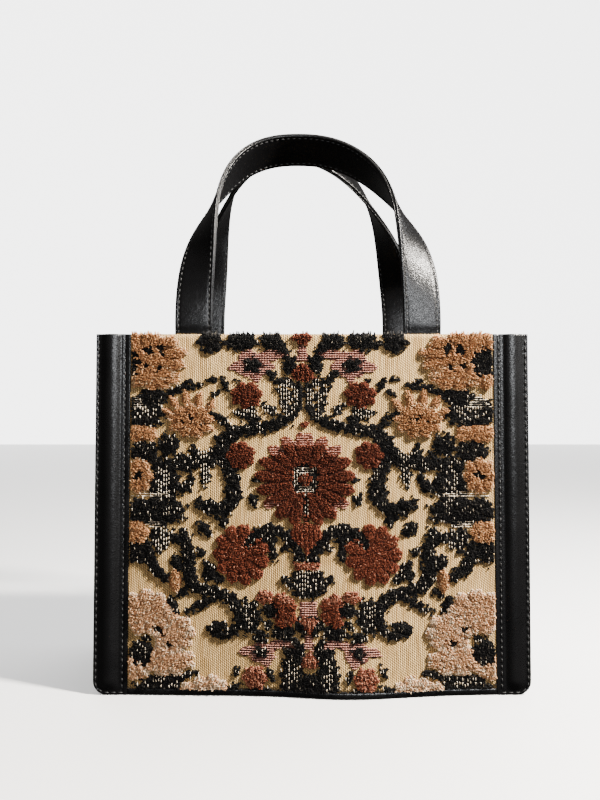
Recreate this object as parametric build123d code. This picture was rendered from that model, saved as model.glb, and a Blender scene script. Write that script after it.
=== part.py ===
from build123d import *
import math
import os

# A small velvet tote: X is the width, the front faces -Y, Z is up, and the base stands on z = 0.

# Body
bag_height = 231.0
bottom_half_width = 140.5
top_half_width = 138.0
corner_radius = 9.0

# Panels, measured outwards from the middle plane of the bag
cloth_face = 59.0
cloth_thickness = 2.0
cloth_back = cloth_face - cloth_thickness
pile_height = 1.2

# Leather
leather = 1.5
flange_width = 12.0
web_half_depth = cloth_back - leather
band_width = 22.3
band_lip = 0.6
band_crown = 2.8
band_crown_start = 3.8
band_crown_end = 16.0
cloth_tuck = 5.8
trim_height = 4.3
trim_face = cloth_face + band_lip

# Inside
board_thickness = 2.0
board_half_width = 129.0
board_half_depth = 53.0
lining_gap = 0.2
lining_thickness = 0.8
facing_thickness = 1.1
facing_height = 33.0

# Handles
strap_width = 24.0
outer_layer = 1.7
strap_lining = 1.4
bond_line = 0.1
handle_half_span = 73.4
front_centre = -2.6
back_centre = -5.0
handle_root = 234.5
front_rise = 128.5
back_rise = 132.5
handle_roundness = 2.4
handle_lean = 45.6
handle_root_y = -56.15
front_skew = -6.5
back_skew = -8.0
strap_tilt = math.radians(43.0)
twist_done = 1.02
strap_sections = 22
strap_end_length = 38.5
strap_end_thickness = 1.6
strap_end_gap = 0.7

# Pattern: its own middle line leans a little, and the right half is laid a little wider
pattern_foot = -1.0
pattern_lean = -0.0242
right_spread = 0.04
spread_reach = 110.0
pile_margin = 0.4
smallest_pad = 8.5


def half_width(z):
    """Half of the bag's width at a height."""
    return bottom_half_width + (top_half_width - bottom_half_width) * z / bag_height


def bag_outline(inset=0.0, floor=0.0, top=bag_height):
    """Front outline of the bag, moved in from both sides and standing on a floor height."""
    low = half_width(floor) - inset
    high = half_width(top) - inset
    outline = make_face(Polyline((-high, top), (-low, floor), (low, floor), (high, top), close=True))
    radius = max(corner_radius - max(inset, floor), 1.0)
    return fillet(outline.vertices().sort_by(Axis.Y)[:2], radius)


def slab(face, near, far):
    """Extrude a front outline between two distances in front of the middle plane."""
    return extrude(Plane.XZ.offset(near) * face, far - near)


def to_back(shape):
    """The same piece on the back of the bag."""
    return mirror(shape, about=Plane.XZ)


def gusset():
    """Side, base and side in one folded strip, with a turned edge all along the front and the back."""
    above = bag_height + 1.0
    web = bag_outline() - bag_outline(leather, leather, above)
    flange = bag_outline() - bag_outline(flange_width, flange_width, above)
    front = slab(flange, web_half_depth, cloth_back)
    return slab(web, -web_half_depth, web_half_depth) + front + to_back(front)


def cloth_panel():
    """Flat ground cloth, tucked under the bands and standing on the trim."""
    low = half_width(trim_height) - band_width + cloth_tuck
    high = half_width(bag_height) - band_width + cloth_tuck
    outline = make_face(
        Polyline((-high, bag_height), (-low, trim_height), (low, trim_height), (high, bag_height), close=True)
    )
    return slab(outline, cloth_back, cloth_face)


def band(side):
    """Padded leather band: flat stitched lips, a round middle, and a step that covers the cloth's edge."""
    step = band_width - cloth_tuck
    lip = cloth_thickness + band_lip
    slope = side * (top_half_width - bottom_half_width) / bag_height
    upward = Vector(slope, 0, 1).normalized()
    inward = Vector(-side * upward.Z, 0, side * upward.X)
    plane = Plane(origin=(side * bottom_half_width, -cloth_back, 0), x_dir=inward, z_dir=upward)
    outward = -1 if plane.y_dir.Y > 0 else 1

    def at(across, out):
        return (across, outward * out)

    middle = (band_crown_start + band_crown_end) / 2
    outline = Polyline(at(0, 0), at(0, lip - 0.5), at(0.5, lip), at(band_crown_start, lip))
    outline += ThreePointArc(
        at(band_crown_start, lip), at(middle, cloth_thickness + band_crown), at(band_crown_end, lip)
    )
    outline += Polyline(
        at(band_crown_end, lip), at(band_width, lip), at(band_width, cloth_thickness),
        at(step, cloth_thickness), at(step, 0), at(0, 0),
    )
    body = extrude(plane.offset(-2.0) * make_face(outline), bag_height + 4.0)
    return body & slab(bag_outline(), cloth_back - 1, cloth_back + 2 * band_crown + 1)


def foot_trim():
    """Thin leather strip under the cloth, between the two bands."""
    reach = half_width(trim_height) - band_width
    strip = Box(
        2 * reach, trim_face - cloth_back, trim_height, align=(Align.CENTER, Align.MAX, Align.MIN)
    ).moved(Location((0, -cloth_back, 0)))
    return fillet(strip.edges().filter_by(Axis.X).group_by(Axis.Y)[0].sort_by(Axis.Z)[0], 1.2)


def inner_walls(inset, thickness, floor, low, high):
    """Four walls, and a floor where the height allows, just inside the gusset and the panels."""
    depth = web_half_depth - lining_gap
    above = bag_height + 1.0
    outside = slab(bag_outline(inset, floor, above), -depth, depth)
    room = bag_outline(inset + thickness, floor + thickness, above)
    hollow = slab(room, thickness - depth, depth - thickness)
    on_floor = (Align.CENTER, Align.CENTER, Align.MIN)
    cut = Box(400, 400, high - low, align=on_floor).moved(Location((0, 0, low)))
    return (outside - hollow) & cut


def lining():
    """Open lining bag, which stands on the base board and ends under the facing."""
    floor = leather + board_thickness + lining_gap
    return inner_walls(leather + lining_gap, lining_thickness, floor, 0.0, bag_height - facing_height)


def mouth_facing():
    """Leather facing round the inside of the mouth, over the strap ends."""
    floor = leather + board_thickness + lining_gap
    low = bag_height - facing_height
    return inner_walls(leather + lining_gap, facing_thickness, floor, low, bag_height)


def base_board():
    """Stiff board on the base leather, under the lining."""
    on_floor = (Align.CENTER, Align.CENTER, Align.MIN)
    board = Box(2 * board_half_width, 2 * board_half_depth, board_thickness, align=on_floor)
    board = board.moved(Location((0, 0, leather)))
    return fillet(board.edges().filter_by(Axis.Z), 4.0)


def smooth_step(value):
    """Ease from 0 to 1."""
    value = min(max(value, 0.0), 1.0)
    return value * value * (3 - 2 * value)


def strap_point(angle, centre, skew, height):
    """Middle line of a handle: a rounded arch that leans in towards the other handle."""
    c = math.cos(angle)
    s = math.sin(angle)
    power = handle_roundness
    reach = ((abs(c) / handle_half_span) ** power + (abs(s) / height) ** power) ** (-1 / power)
    rise = reach * s / height
    return Vector(
        centre + reach * c + skew * rise ** 3,
        handle_root_y + handle_lean * rise * rise,
        handle_root + reach * s,
    )


def strap_plane(angle, centre, skew, height):
    """Cross-section plane of the strap: flat to the panel at its roots, face up at the top."""
    step = 0.002
    point = strap_point(angle, centre, skew, height)
    ahead = strap_point(max(angle - step, 0.0), centre, skew, height)
    behind = strap_point(min(angle + step, math.pi), centre, skew, height)
    tangent = (ahead - behind).normalized()
    rise = (point.Z - handle_root) / height
    twist = math.pi / 2 * smooth_step(rise / twist_done)
    inward = 1.0 if angle > math.pi / 2 else -1.0
    top_width = Vector(0, -math.cos(strap_tilt), math.sin(strap_tilt))
    width = Vector(inward * math.cos(twist), 0, 0) + top_width * math.sin(twist)
    width = (width - tangent * width.dot(tangent)).normalized()
    return Plane(origin=point, x_dir=width, z_dir=tangent)


def strap(centre, skew, height, near, far):
    """One layer of a handle, between two distances from the strap's middle, towards its outer face."""
    sections = []
    for index in range(strap_sections + 1):
        angle = math.pi * (1 - index / strap_sections)
        plane = strap_plane(angle, centre, skew, height)
        layer = Pos(0, -(near + far) / 2) * Rectangle(strap_width, far - near)
        sections.append(plane * layer)
    return loft(sections)


def strap_end(side, centre):
    """Skived end of the strap, sewn between the panel and the facing."""
    top = handle_root - strap_end_gap
    front = cloth_back - 0.05
    block = Box(
        strap_width, strap_end_thickness, strap_end_length, align=(Align.CENTER, Align.MIN, Align.MAX)
    ).moved(Location((centre + side * handle_half_span, -front, top)))
    return fillet(block.edges().filter_by(Axis.Y).sort_by(Axis.Z)[:2], 4.0)


def axis_at(v):
    """Where the pattern's middle line is at a height."""
    return pattern_foot + pattern_lean * v


def place(u, v, side):
    """Point of the panel for a distance from the middle line, a height and a half of the pattern."""
    if side > 0:
        u = u * (1 + right_spread * (u / spread_reach) ** 2)
    return (axis_at(v) + side * u, v)


def flower(u, v, reach, rise, lobes=7, depth=0.16, turn=0.0):
    """Round motif with petals: points alternate between petal tips and notches."""
    points = []
    for index in range(2 * lobes):
        angle = turn + math.pi * index / lobes
        radius = 1.0 if index % 2 == 0 else 1.0 - depth
        points.append((u + reach * radius * math.cos(angle), v + rise * radius * math.sin(angle)))
    return points


def leaf(u, v, length, width, angle):
    """Pointed leaf about its middle, with its angle in degrees from the outward direction."""
    turn = math.radians(angle)
    shape = ((-0.5, 0), (-0.22, 0.42), (0.12, 0.5), (0.5, 0), (0.12, -0.5), (-0.22, -0.42))
    points = []
    for along, across in shape:
        a = along * length
        b = across * width
        du = a * math.cos(turn) - b * math.sin(turn)
        dv = a * math.sin(turn) + b * math.cos(turn)
        points.append((u + du, v + dv))
    return points


def vine(*route):
    """Stem along hand-set points, each with its own width, and blunt ends."""
    left = []
    right = []
    for index, (u, v, width) in enumerate(route):
        before = route[max(index - 1, 0)]
        after = route[min(index + 1, len(route) - 1)]
        du = after[0] - before[0]
        dv = after[1] - before[1]
        size = math.hypot(du, dv)
        left.append((u - dv / size * width / 2, v + du / size * width / 2))
        right.append((u + dv / size * width / 2, v - du / size * width / 2))
    return left + right[::-1]


def rust_motifs():
    """Rust pile: buds, rounds, blooms and side parts of the foot cluster."""
    return [
        flower(36.3, 192, 10, 8, 6, 0.12, 0.3),
        flower(40.8, 153.5, 8.6, 8.4, 6, 0.14),
        flower(41.8, 90.5, 17, 18.5, 8, 0.13),
        flower(16, 55, 8.6, 11, 5, 0.2),
        flower(27.5, 63.5, 5.4, 4.4, 5, 0.15),
    ]


def rust_middle():
    """Rust pile on the middle line: top bud, small base, rosette, fan, bar, cone and foot."""
    return [
        flower(0, 228.5, 6, 4.6, 6, 0.12),
        [(-8, 203), (-5, 209), (0, 213), (5, 209), (8, 203), (0, 200)],
        flower(0, 138, 28.5, 28, 12, 0.12, 0.1),
        [(-10.5, 103), (-7.5, 110), (7.5, 110), (10.5, 103), (0, 90.5)],
        [(-8, 81), (-8, 85.5), (8, 85.5), (8, 81)],
        [(-6.5, 48.5), (-4, 51), (4, 51), (6.5, 48.5), (0, 40)],
        [(-5, 19), (-5.5, 24), (0, 30), (5.5, 24), (5, 19)],
    ]


def pink_motifs():
    """Flat pink striped flowers."""
    return [
        flower(31, 211, 17.5, 9.5, 6, 0.34, 0.2),
        flower(30.5, 28.5, 13.5, 7.2, 6, 0.3, 0.2),
        flower(35.2, 12.2, 7.8, 7.2, 6, 0.16),
        leaf(14, 34, 14, 4.5, 20),
    ]


def pink_middle():
    """Pink striped parts of the middle column."""
    return [
        [(-3.6, 213.4), (-2.6, 223.5), (2.6, 223.5), (3.6, 213.4)],
        [(-5.5, 51.4), (-5, 60.5), (5, 60.5), (5.5, 51.4)],
        [(-2.6, 30.6), (-2.2, 39.6), (2.2, 39.6), (2.6, 30.6)],
    ]


def tan_motifs():
    """Tan pile: top corner flower, daisy, half leaf, diamond rosette, small flower and bud."""
    return [
        flower(103, 214.5, 29, 17.5, 8, 0.1, 0.1),
        flower(97, 201, 17, 7, 6, 0.14),
        flower(72, 178.5, 15.5, 13.5, 8, 0.2, 0.2),
        flower(106, 167.5, 12.5, 5.4, 5, 0.14),
        flower(107, 140.5, 9.4, 11.2, 7, 0.1),
        flower(108.6, 104.5, 7.4, 7, 6, 0.14),
        leaf(84.5, 73.5, 14.5, 7.5, 90),
    ]


def pale_motifs():
    """Pale pile: the lower peony and the daisy at the foot."""
    return [
        flower(103, 52, 17.5, 14, 7, 0.1, 0.2),
        flower(88, 41, 14, 12, 7, 0.12),
        flower(92, 22.5, 18, 9.5, 7, 0.12),
        flower(112, 18, 10, 8, 5, 0.12),
        flower(69.5, 4.5, 15, 8, 7, 0.16),
    ]


def black_eyes():
    """Black pile inside the lighter flowers."""
    return [
        flower(110, 212.5, 8.5, 8.6, 6, 0.12),
        leaf(92, 219, 6, 5, 80),
        leaf(99.5, 219, 5, 4.5, 100),
        flower(31.5, 211, 6.2, 4.8, 5, 0.25, 0.6),
        flower(107.5, 27.5, 7.2, 8.6, 6, 0.14),
        leaf(89, 33.5, 7, 3.6, 30),
        flower(31, 28.5, 4.2, 3.6, 5, 0.2),
        flower(24.5, 55, 5.6, 4.4, 5, 0.2),
    ]


def black_vines():
    """Black pile: the stems and hooks of the scroll."""
    return [
        vine((66, 198, 3), (76, 197, 4.5), (88, 192, 6), (99, 188, 9)),
        vine((3, 177, 8), (12, 173, 9.5), (25, 171.5, 9), (38, 170, 8), (47, 166, 9.5), (53, 158, 10),
             (60, 151, 11), (72, 149, 10), (86, 147, 9)),
        vine((52, 151, 8), (47, 141, 8.5), (44.5, 130, 9), (50.5, 120.5, 9.5), (60, 119, 8.5), (69, 124, 5)),
        vine((33, 188, 5), (34.5, 180, 7), (30, 174, 6)),
        vine((46, 168, 5), (52, 176, 5), (60, 181, 4)),
        vine((4, 89, 7), (8, 97, 7), (16, 104, 8), (24, 106, 8), (32, 103, 7.5), (38, 98, 5)),
        vine((22, 105, 6), (23, 96, 6.5), (21.5, 87, 4.5)),
        vine((79, 104, 7), (76, 94, 8.5), (76.5, 82, 10), (73, 71.5, 9), (62, 66.5, 8), (51, 63.5, 8),
             (44.5, 55, 8), (45, 45.5, 7), (52.5, 39.5, 6.5), (60, 41, 6)),
        vine((102, 96, 8), (100, 86, 7.5), (94, 78, 7), (87, 74.5, 5)),
        vine((77, 54, 3.5), (69, 58, 4.5), (61, 64, 5)),
        vine((72, 14.5, 3.5), (81, 13, 5), (91, 8.5, 7)),
        vine((4, 66, 6), (10, 71, 5.5), (16, 76.5, 4)),
    ]


def black_leaves():
    """Black pile: leaves, blobs and clusters between the flowers."""
    return [
        flower(58.5, 225.5, 7.5, 7, 5, 0.2),
        flower(38, 227, 8.8, 7, 5, 0.16),
        leaf(14, 221, 21, 10, 48),
        leaf(8, 211, 14, 9, 120),
        flower(8.8, 190, 9, 14.5, 6, 0.2),
        leaf(50, 199, 10, 5.5, 60),
        flower(103, 181, 16, 9.5, 6, 0.16),
        flower(96, 191, 9, 6, 5, 0.16),
        flower(87, 160, 7, 8, 5, 0.2),
        flower(103, 155, 9.5, 8, 5, 0.16),
        flower(90.5, 136, 10, 17, 6, 0.14),
        flower(97, 117.5, 20, 9.5, 7, 0.16),
        leaf(76, 134, 17, 8, -45),
        leaf(63.5, 141, 17, 7, 95),
        leaf(65, 106.5, 13, 8, 40),
        leaf(84, 101, 13, 8, 30),
        leaf(83, 85, 13, 8, 70),
        flower(94, 100, 6.5, 8.5, 5, 0.18),
        flower(110, 93, 7, 9, 5, 0.16),
        flower(37.5, 51, 6.8, 11.5, 6, 0.16),
        leaf(86.5, 57.5, 15, 7.5, 70),
        leaf(63.5, 78, 11, 7.5, 100),
        leaf(58.5, 44, 16, 8, -20),
        flower(31, 38, 5, 4.4, 5, 0.16),
        flower(14.5, 40, 5.4, 7, 5, 0.2),
        flower(11.5, 14.5, 6.6, 15.5, 6, 0.18),
        leaf(46.5, 16.5, 9, 4.5, 115),
        leaf(50, 5.5, 12, 4.5, -20),
        flower(32, 3, 9, 3.2, 4, 0.3),
        flower(96, 6.5, 15, 7, 6, 0.16),
    ]


def black_middle():
    """Black pile on the middle line: the cup under the rosette."""
    return [
        [(-8.5, 85.8), (-5, 90.4), (5, 90.4), (8.5, 85.8)],
        [(-9.5, 74), (-9, 80.6), (9, 80.6), (9.5, 74), (4.5, 63), (-4.5, 63)],
        flower(0, 46, 9.5, 7, 5, 0.1),
    ]


def rosette_star():
    """Flecked star at the middle of the rosette."""
    return [flower(0, 138, 9.5, 9.5, 6, 0.3, 0.2)]


def pile_window():
    """The part of the cloth that shows between the bands, above the trim."""
    low = half_width(trim_height) - band_width - pile_margin
    high = half_width(bag_height) - band_width - pile_margin
    foot = trim_height + pile_margin
    return make_face(Polyline((-high, bag_height), (-low, foot), (low, foot), (high, bag_height), close=True))


def fields(mirrored, middle):
    """Faces for motifs that stand on both halves, and for motifs on the middle line."""
    outlines = []
    for side in (-1, 1):
        for motif in mirrored:
            outlines.append([place(u, v, side) for u, v in motif])
    for motif in middle:
        outlines.append([(axis_at(v) + u, v) for u, v in motif])
    faces = [make_face(Polyline(*outline, close=True)) for outline in outlines]
    return Sketch() + faces


def pile_pads():
    """Raised pile of the front panel, one colour a piece; the lighter flowers lie over the black."""
    window = pile_window()
    eyes = fields(black_eyes(), rosette_star())
    rust = (fields(rust_motifs(), rust_middle()) - eyes) & window
    pink = (fields(pink_motifs(), pink_middle()) - rust - eyes) & window
    tan = (fields(tan_motifs(), []) - eyes) & window
    pale = (fields(pale_motifs(), []) - eyes) & window
    black = fields(black_vines() + black_leaves(), black_middle()) + eyes
    black = (black & window) - rust - tan - pale - pink
    sketches = {"black": black, "rust": rust, "tan": tan, "pale": pale, "pink": pink}
    pads = {}
    for colour, sketch in sketches.items():
        solids = [slab(face, cloth_face, cloth_face + pile_height) for face in sketch.faces()
                  if face.area > smallest_pad]
        pads[colour] = Compound(children=solids)
    return pads


def main():
    """Build every piece and write it to its own file."""
    pieces = {
        "gusset": gusset(),
        "base_board": base_board(),
        "lining": lining(),
        "mouth_facing": mouth_facing(),
    }
    front = {
        "cloth": cloth_panel(),
        "left_band": band(-1),
        "right_band": band(1),
        "foot_trim": foot_trim(),
    }
    for colour, pad in pile_pads().items():
        front[colour + "_pile"] = pad
    for name, shape in front.items():
        pieces["front_" + name] = shape
        pieces["back_" + name] = to_back(shape)

    half = (outer_layer + strap_lining + bond_line) / 2
    straps = (("front", front_centre, front_skew, front_rise), ("back", back_centre, back_skew, back_rise))
    for name, centre, skew, height in straps:
        handle = {
            "left_strap_end": strap_end(-1, centre),
            "right_strap_end": strap_end(1, centre),
            "handle": strap(centre, skew, height, half - outer_layer, half),
            "handle_lining": strap(centre, skew, height, -half, strap_lining - half),
        }
        for part_name, shape in handle.items():
            pieces[name + "_" + part_name] = shape if name == "front" else to_back(shape)

    os.makedirs("parts", exist_ok=True)
    for name, shape in pieces.items():
        export_step(shape, "parts/" + name + ".step")


main()
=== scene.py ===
"""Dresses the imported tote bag: velvet panels, padded leather bands, strap handles, lining and light."""
import logging
import math
from dataclasses import dataclass
from enum import Enum, IntEnum
from functools import cache
from typing import ClassVar

import bpy
import numpy as np
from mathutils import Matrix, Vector


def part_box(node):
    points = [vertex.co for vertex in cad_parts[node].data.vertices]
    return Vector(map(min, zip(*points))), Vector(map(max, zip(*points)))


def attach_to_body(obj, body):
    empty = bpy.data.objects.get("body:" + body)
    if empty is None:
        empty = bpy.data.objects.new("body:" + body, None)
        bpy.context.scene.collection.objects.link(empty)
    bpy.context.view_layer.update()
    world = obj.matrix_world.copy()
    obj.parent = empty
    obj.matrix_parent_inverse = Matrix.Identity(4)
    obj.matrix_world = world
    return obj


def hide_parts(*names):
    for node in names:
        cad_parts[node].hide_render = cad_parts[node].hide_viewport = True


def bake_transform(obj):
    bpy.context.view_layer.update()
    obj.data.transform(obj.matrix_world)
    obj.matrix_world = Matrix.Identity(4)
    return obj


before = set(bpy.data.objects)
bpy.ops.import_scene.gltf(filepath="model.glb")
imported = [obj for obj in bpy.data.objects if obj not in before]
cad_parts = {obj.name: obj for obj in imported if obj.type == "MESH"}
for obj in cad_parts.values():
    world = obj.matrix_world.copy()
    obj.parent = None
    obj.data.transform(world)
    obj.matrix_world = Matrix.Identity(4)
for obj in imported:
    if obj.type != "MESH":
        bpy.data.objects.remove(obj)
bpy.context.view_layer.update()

LOG = logging.getLogger("tote")
MM = 0.001
Triple = tuple[float, float, float]
Points = np.ndarray
Random = np.random.Generator
Socket = bpy.types.NodeSocket
Material = bpy.types.Material
Piece = bpy.types.Object


class Yarn(Enum):
    """What a place on the cloth is woven from."""

    GROUND = 0
    BLACK = 1
    RUST = 2
    TAN = 3
    PALE = 4
    PINK = 5


class Place(IntEnum):
    """Named places that are also signs."""

    @property
    def label(self) -> str:
        """Its word in the names of nodes and pieces."""
        return self.name.lower()


class Side(Place):
    """Panel of the bag, as the sign of its y."""

    FRONT = -1
    BACK = 1


class Hand(Place):
    """Left or right seen from the front, as the sign of its x."""

    LEFT = -1
    RIGHT = 1


def ease(value: Points | float) -> Points | float:
    """Smooth step from 0 to 1."""
    value = np.clip(value, 0.0, 1.0)
    return value * value * (3 - 2 * value)


def unit(vectors: Points) -> Points:
    """Vectors scaled to length 1."""
    return vectors / (np.linalg.norm(vectors, axis=-1)[..., None] + 1e-9)


def ripple(x: Points, z: Points, size: float, seed: float = 0.0) -> Points:
    """Smooth, repeatable unevenness.

    Args:
        x: First coordinate in mm.
        z: Second coordinate in mm.
        size: Distance in mm over which it changes.
        seed: Shifts the waves.

    Returns:
        The unevenness at each point, between about -1 and 1.
    """
    a = x / size
    b = z / size
    waves = ((1.7, 2.3, seed), (3.1, -1.3, 2 * seed), (-0.9, 3.7, 5.0))
    return sum(np.sin(across * a + up * b + shift) for across, up, shift in waves) / len(waves)


def attach(piece: Piece, slot: str, *nodes: str) -> Piece:
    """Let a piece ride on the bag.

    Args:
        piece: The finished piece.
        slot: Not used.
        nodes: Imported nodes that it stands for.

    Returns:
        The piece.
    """
    if nodes:
        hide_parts(*nodes)
    LOG.info("%s: %d faces", piece.name, len(piece.data.polygons))
    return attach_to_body(piece, "bag")


class Graph:
    """A node tree with short calls to add nodes and link them."""

    def __init__(self, tree: bpy.types.NodeTree) -> None:
        """Keep the tree that is drawn in."""
        self.tree = tree

    def add(self, kind: str, inputs: dict | None = None, **settings: object) -> bpy.types.Node:
        """Add a node.

        Args:
            kind: The node's type name.
            inputs: Values or sockets by input name or number.
            settings: Properties of the node itself.

        Returns:
            The new node.
        """
        node = self.tree.nodes.new(kind)
        for key, value in settings.items():
            setattr(node, key, value)
        for key, value in (inputs or {}).items():
            if isinstance(value, Socket):
                self.tree.links.new(value, node.inputs[key])
            else:
                node.inputs[key].default_value = value
        return node

    def feed(self, node: bpy.types.Node, **values: Socket) -> None:
        """Link sockets to a node's inputs, named with underscores for spaces."""
        for label, value in values.items():
            self.tree.links.new(value, node.inputs[label.replace("_", " ")])

    def math(self, operation: str, a: object, b: object = 0.0) -> Socket:
        """Result of one arithmetic node."""
        return self.add("ShaderNodeMath", {0: a, 1: b}, operation=operation).outputs[0]

    def vector(self, operation: str, inputs: dict) -> Socket:
        """Result of one vector node."""
        return self.add("ShaderNodeVectorMath", inputs, operation=operation).outputs[0]

    def blend(self, share: object, a: object, b: object) -> Socket:
        """Mix two colours.

        Args:
            share: How much of b, as a value or socket.
            a: First colour or socket.
            b: Second colour or socket.

        Returns:
            The mixed colour.
        """
        ends = [value if isinstance(value, Socket) else (*value, 1.0) for value in (a, b)]
        return self.add("ShaderNodeMix", {"Factor": share, 6: ends[0], 7: ends[1]}, data_type="RGBA").outputs[2]

    def ramp(self, value: Socket, low: float, high: float, to_low: float = 0.0, to_high: float = 1.0) -> Socket:
        """Value rescaled from one range to another, and held inside it."""
        inputs = {"Value": value, 1: low, 2: high, 3: to_low, 4: to_high}
        return self.add("ShaderNodeMapRange", inputs, clamp=True).outputs[0]

    def place(self) -> Socket:
        """Place on the object, in metres."""
        return self.add("ShaderNodeTexCoord").outputs["Object"]

    def noise(self, place: Socket, scale: float, detail: float = 2.0) -> Socket:
        """Cloudy value between 0 and 1, with scale clouds per metre."""
        return self.add("ShaderNodeTexNoise", {"Vector": place, "Scale": scale, "Detail": detail}).outputs[0]

    def wave(self, run: Socket, density: Socket) -> Socket:
        """Even wave between 0 and 1 along a distance, with so many waves per metre."""
        turn = self.math("MULTIPLY", self.math("MULTIPLY", run, density), 2 * math.pi)
        return self.ramp(self.math("SINE", turn), -1.0, 1.0)

    def sum_of(self, a: Socket, b: Socket, share: float) -> Socket:
        """Weighted sum of two values, where share is the weight of a."""
        return self.math("ADD", self.math("MULTIPLY", a, share), self.math("MULTIPLY", b, 1 - share))


class Effects:
    """Shader node groups that several finishes use, each made once."""

    @staticmethod
    def new_group(
        name: str, inputs: dict[str, float], outputs: tuple[str, ...]
    ) -> tuple[Graph, dict[str, Socket]]:
        """Start a group with float inputs and float outputs.

        Args:
            name: The group's name.
            inputs: Default value of each input.
            outputs: Names of the outputs.

        Returns:
            The group's graph, and the sockets that its inputs arrive at.
        """
        tree = bpy.data.node_groups.new(name, "ShaderNodeTree")
        for label, value in inputs.items():
            socket = tree.interface.new_socket(name=label, in_out="INPUT", socket_type="NodeSocketFloat")
            socket.default_value = value
        for label in outputs:
            tree.interface.new_socket(name=label, in_out="OUTPUT", socket_type="NodeSocketFloat")
        graph = Graph(tree)
        entry = graph.add("NodeGroupInput")
        return graph, {label: entry.outputs[label] for label in inputs}

    @staticmethod
    @cache
    def pebble() -> bpy.types.NodeTree:
        """Leather grain: small rounded pebbles between fine valleys, with slow changes of tone.

        Returns:
            The group, which puts out Height, Valley and Tone.
        """
        defaults = {"Pebbles per metre": 900.0}
        graph, inputs = Effects.new_group("pebble_grain", defaults, ("Height", "Valley", "Tone"))
        place = graph.place()
        clouds = {"Vector": place, "Scale": 260.0, "Detail": 2.0}
        wander = graph.add("ShaderNodeTexNoise", clouds).outputs["Color"]
        centred = graph.vector("SUBTRACT", {0: wander, 1: (0.5, 0.5, 0.5)})
        bent = graph.vector("ADD", {0: place, 1: graph.vector("SCALE", {0: centred, "Scale": 0.0016})})
        cells = {"Vector": bent, "Scale": inputs["Pebbles per metre"]}
        cell = graph.add("ShaderNodeTexVoronoi", cells, feature="DISTANCE_TO_EDGE").outputs["Distance"]
        top = graph.ramp(cell, 0.0, 0.28)
        graph.feed(
            graph.add("NodeGroupOutput"),
            Height=graph.sum_of(top, graph.noise(place, 3200.0, 1.0), 0.8),
            Valley=graph.math("SUBTRACT", 1.0, top),
            Tone=graph.noise(place, 45.0, 3.0),
        )
        return graph.tree

    @staticmethod
    @cache
    def weave() -> bpy.types.NodeTree:
        """Ribbed weave: upright ribs broken by slanting floats, with thicker threads here and there.

        Returns:
            The group, which puts out Height, Gap and Slub.
        """
        defaults = {"Ribs per metre": 760.0, "Floats per metre": 640.0}
        graph, inputs = Effects.new_group("ribbed_weave", defaults, ("Height", "Gap", "Slub"))
        place = graph.place()
        parts = graph.add("ShaderNodeSeparateXYZ", {0: place}).outputs
        drift = graph.math("MULTIPLY", graph.noise(place, 110.0, 3.0), 0.0022)
        rib = graph.wave(graph.math("ADD", parts["X"], drift), inputs["Ribs per metre"])
        slant = graph.math("ADD", parts["Z"], graph.math("MULTIPLY", parts["X"], 0.75))
        skip = graph.wave(slant, inputs["Floats per metre"])
        stretch = graph.add("ShaderNodeMapping", {"Vector": place, "Scale": (900.0, 900.0, 60.0)}).outputs[0]
        graph.feed(
            graph.add("NodeGroupOutput"),
            Height=graph.sum_of(rib, skip, 0.6),
            Gap=graph.ramp(graph.math("MULTIPLY", rib, skip), 0.0, 0.3, 1.0, 0.0),
            Slub=graph.ramp(graph.noise(stretch, 1.0), 0.35, 0.75),
        )
        return graph.tree


@dataclass(frozen=True)
class Finish:
    """Name and two tones that every finish has."""

    name: str
    dark: Triple
    light: Triple

    def start(self, **constants: float) -> tuple[Graph, bpy.types.Node, Material]:
        """Start a material.

        Args:
            constants: Values of the shader's own sockets, with underscores for spaces.

        Returns:
            The material's graph, its shader and the material.
        """
        material = bpy.data.materials.new(self.name)
        material.use_nodes = True
        shader = material.node_tree.nodes["Principled BSDF"]
        for label, value in constants.items():
            shader.inputs[label.replace("_", " ")].default_value = value
        return Graph(material.node_tree), shader, material

    def shaded(self, share: float) -> Triple:
        """The dark tone, darkened to a share of itself, used as painted shade."""
        return tuple(share * part for part in self.dark)

    @staticmethod
    def bump(graph: Graph, height: Socket, depth: float) -> Socket:
        """Normal of a height in 0 to 1 over a depth in mm."""
        inputs = {"Height": height, "Strength": 1.0, "Distance": depth * MM}
        return graph.add("ShaderNodeBump", inputs).outputs[0]


@dataclass(frozen=True)
class LeatherFinish(Finish):
    """Pebbled leather, with its grain and its depth in mm."""

    grain: float = 1.05
    depth: float = 0.05
    gloss_low: float = 0.22
    gloss_high: float = 0.34
    reflection: float = 0.36
    valley_shade: float = 0.6

    def material(self) -> Material:
        """Build the material.

        Returns:
            The material.
        """
        graph, shader, material = self.start(Specular_IOR_Level=self.reflection)
        size = {"Pebbles per metre": 1 / (self.grain * MM)}
        grain = graph.add("ShaderNodeGroup", size, node_tree=Effects.pebble()).outputs
        colour = graph.blend(graph.ramp(grain["Tone"], 0.3, 0.7), self.dark, self.light)
        valley = graph.math("MULTIPLY", grain["Valley"], self.valley_shade)
        graph.feed(
            shader,
            Base_Color=graph.blend(valley, colour, self.dark),
            Roughness=graph.ramp(grain["Valley"], 0.0, 1.0, self.gloss_low, self.gloss_high),
            Normal=self.bump(graph, grain["Height"], self.depth),
        )
        return material


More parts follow.
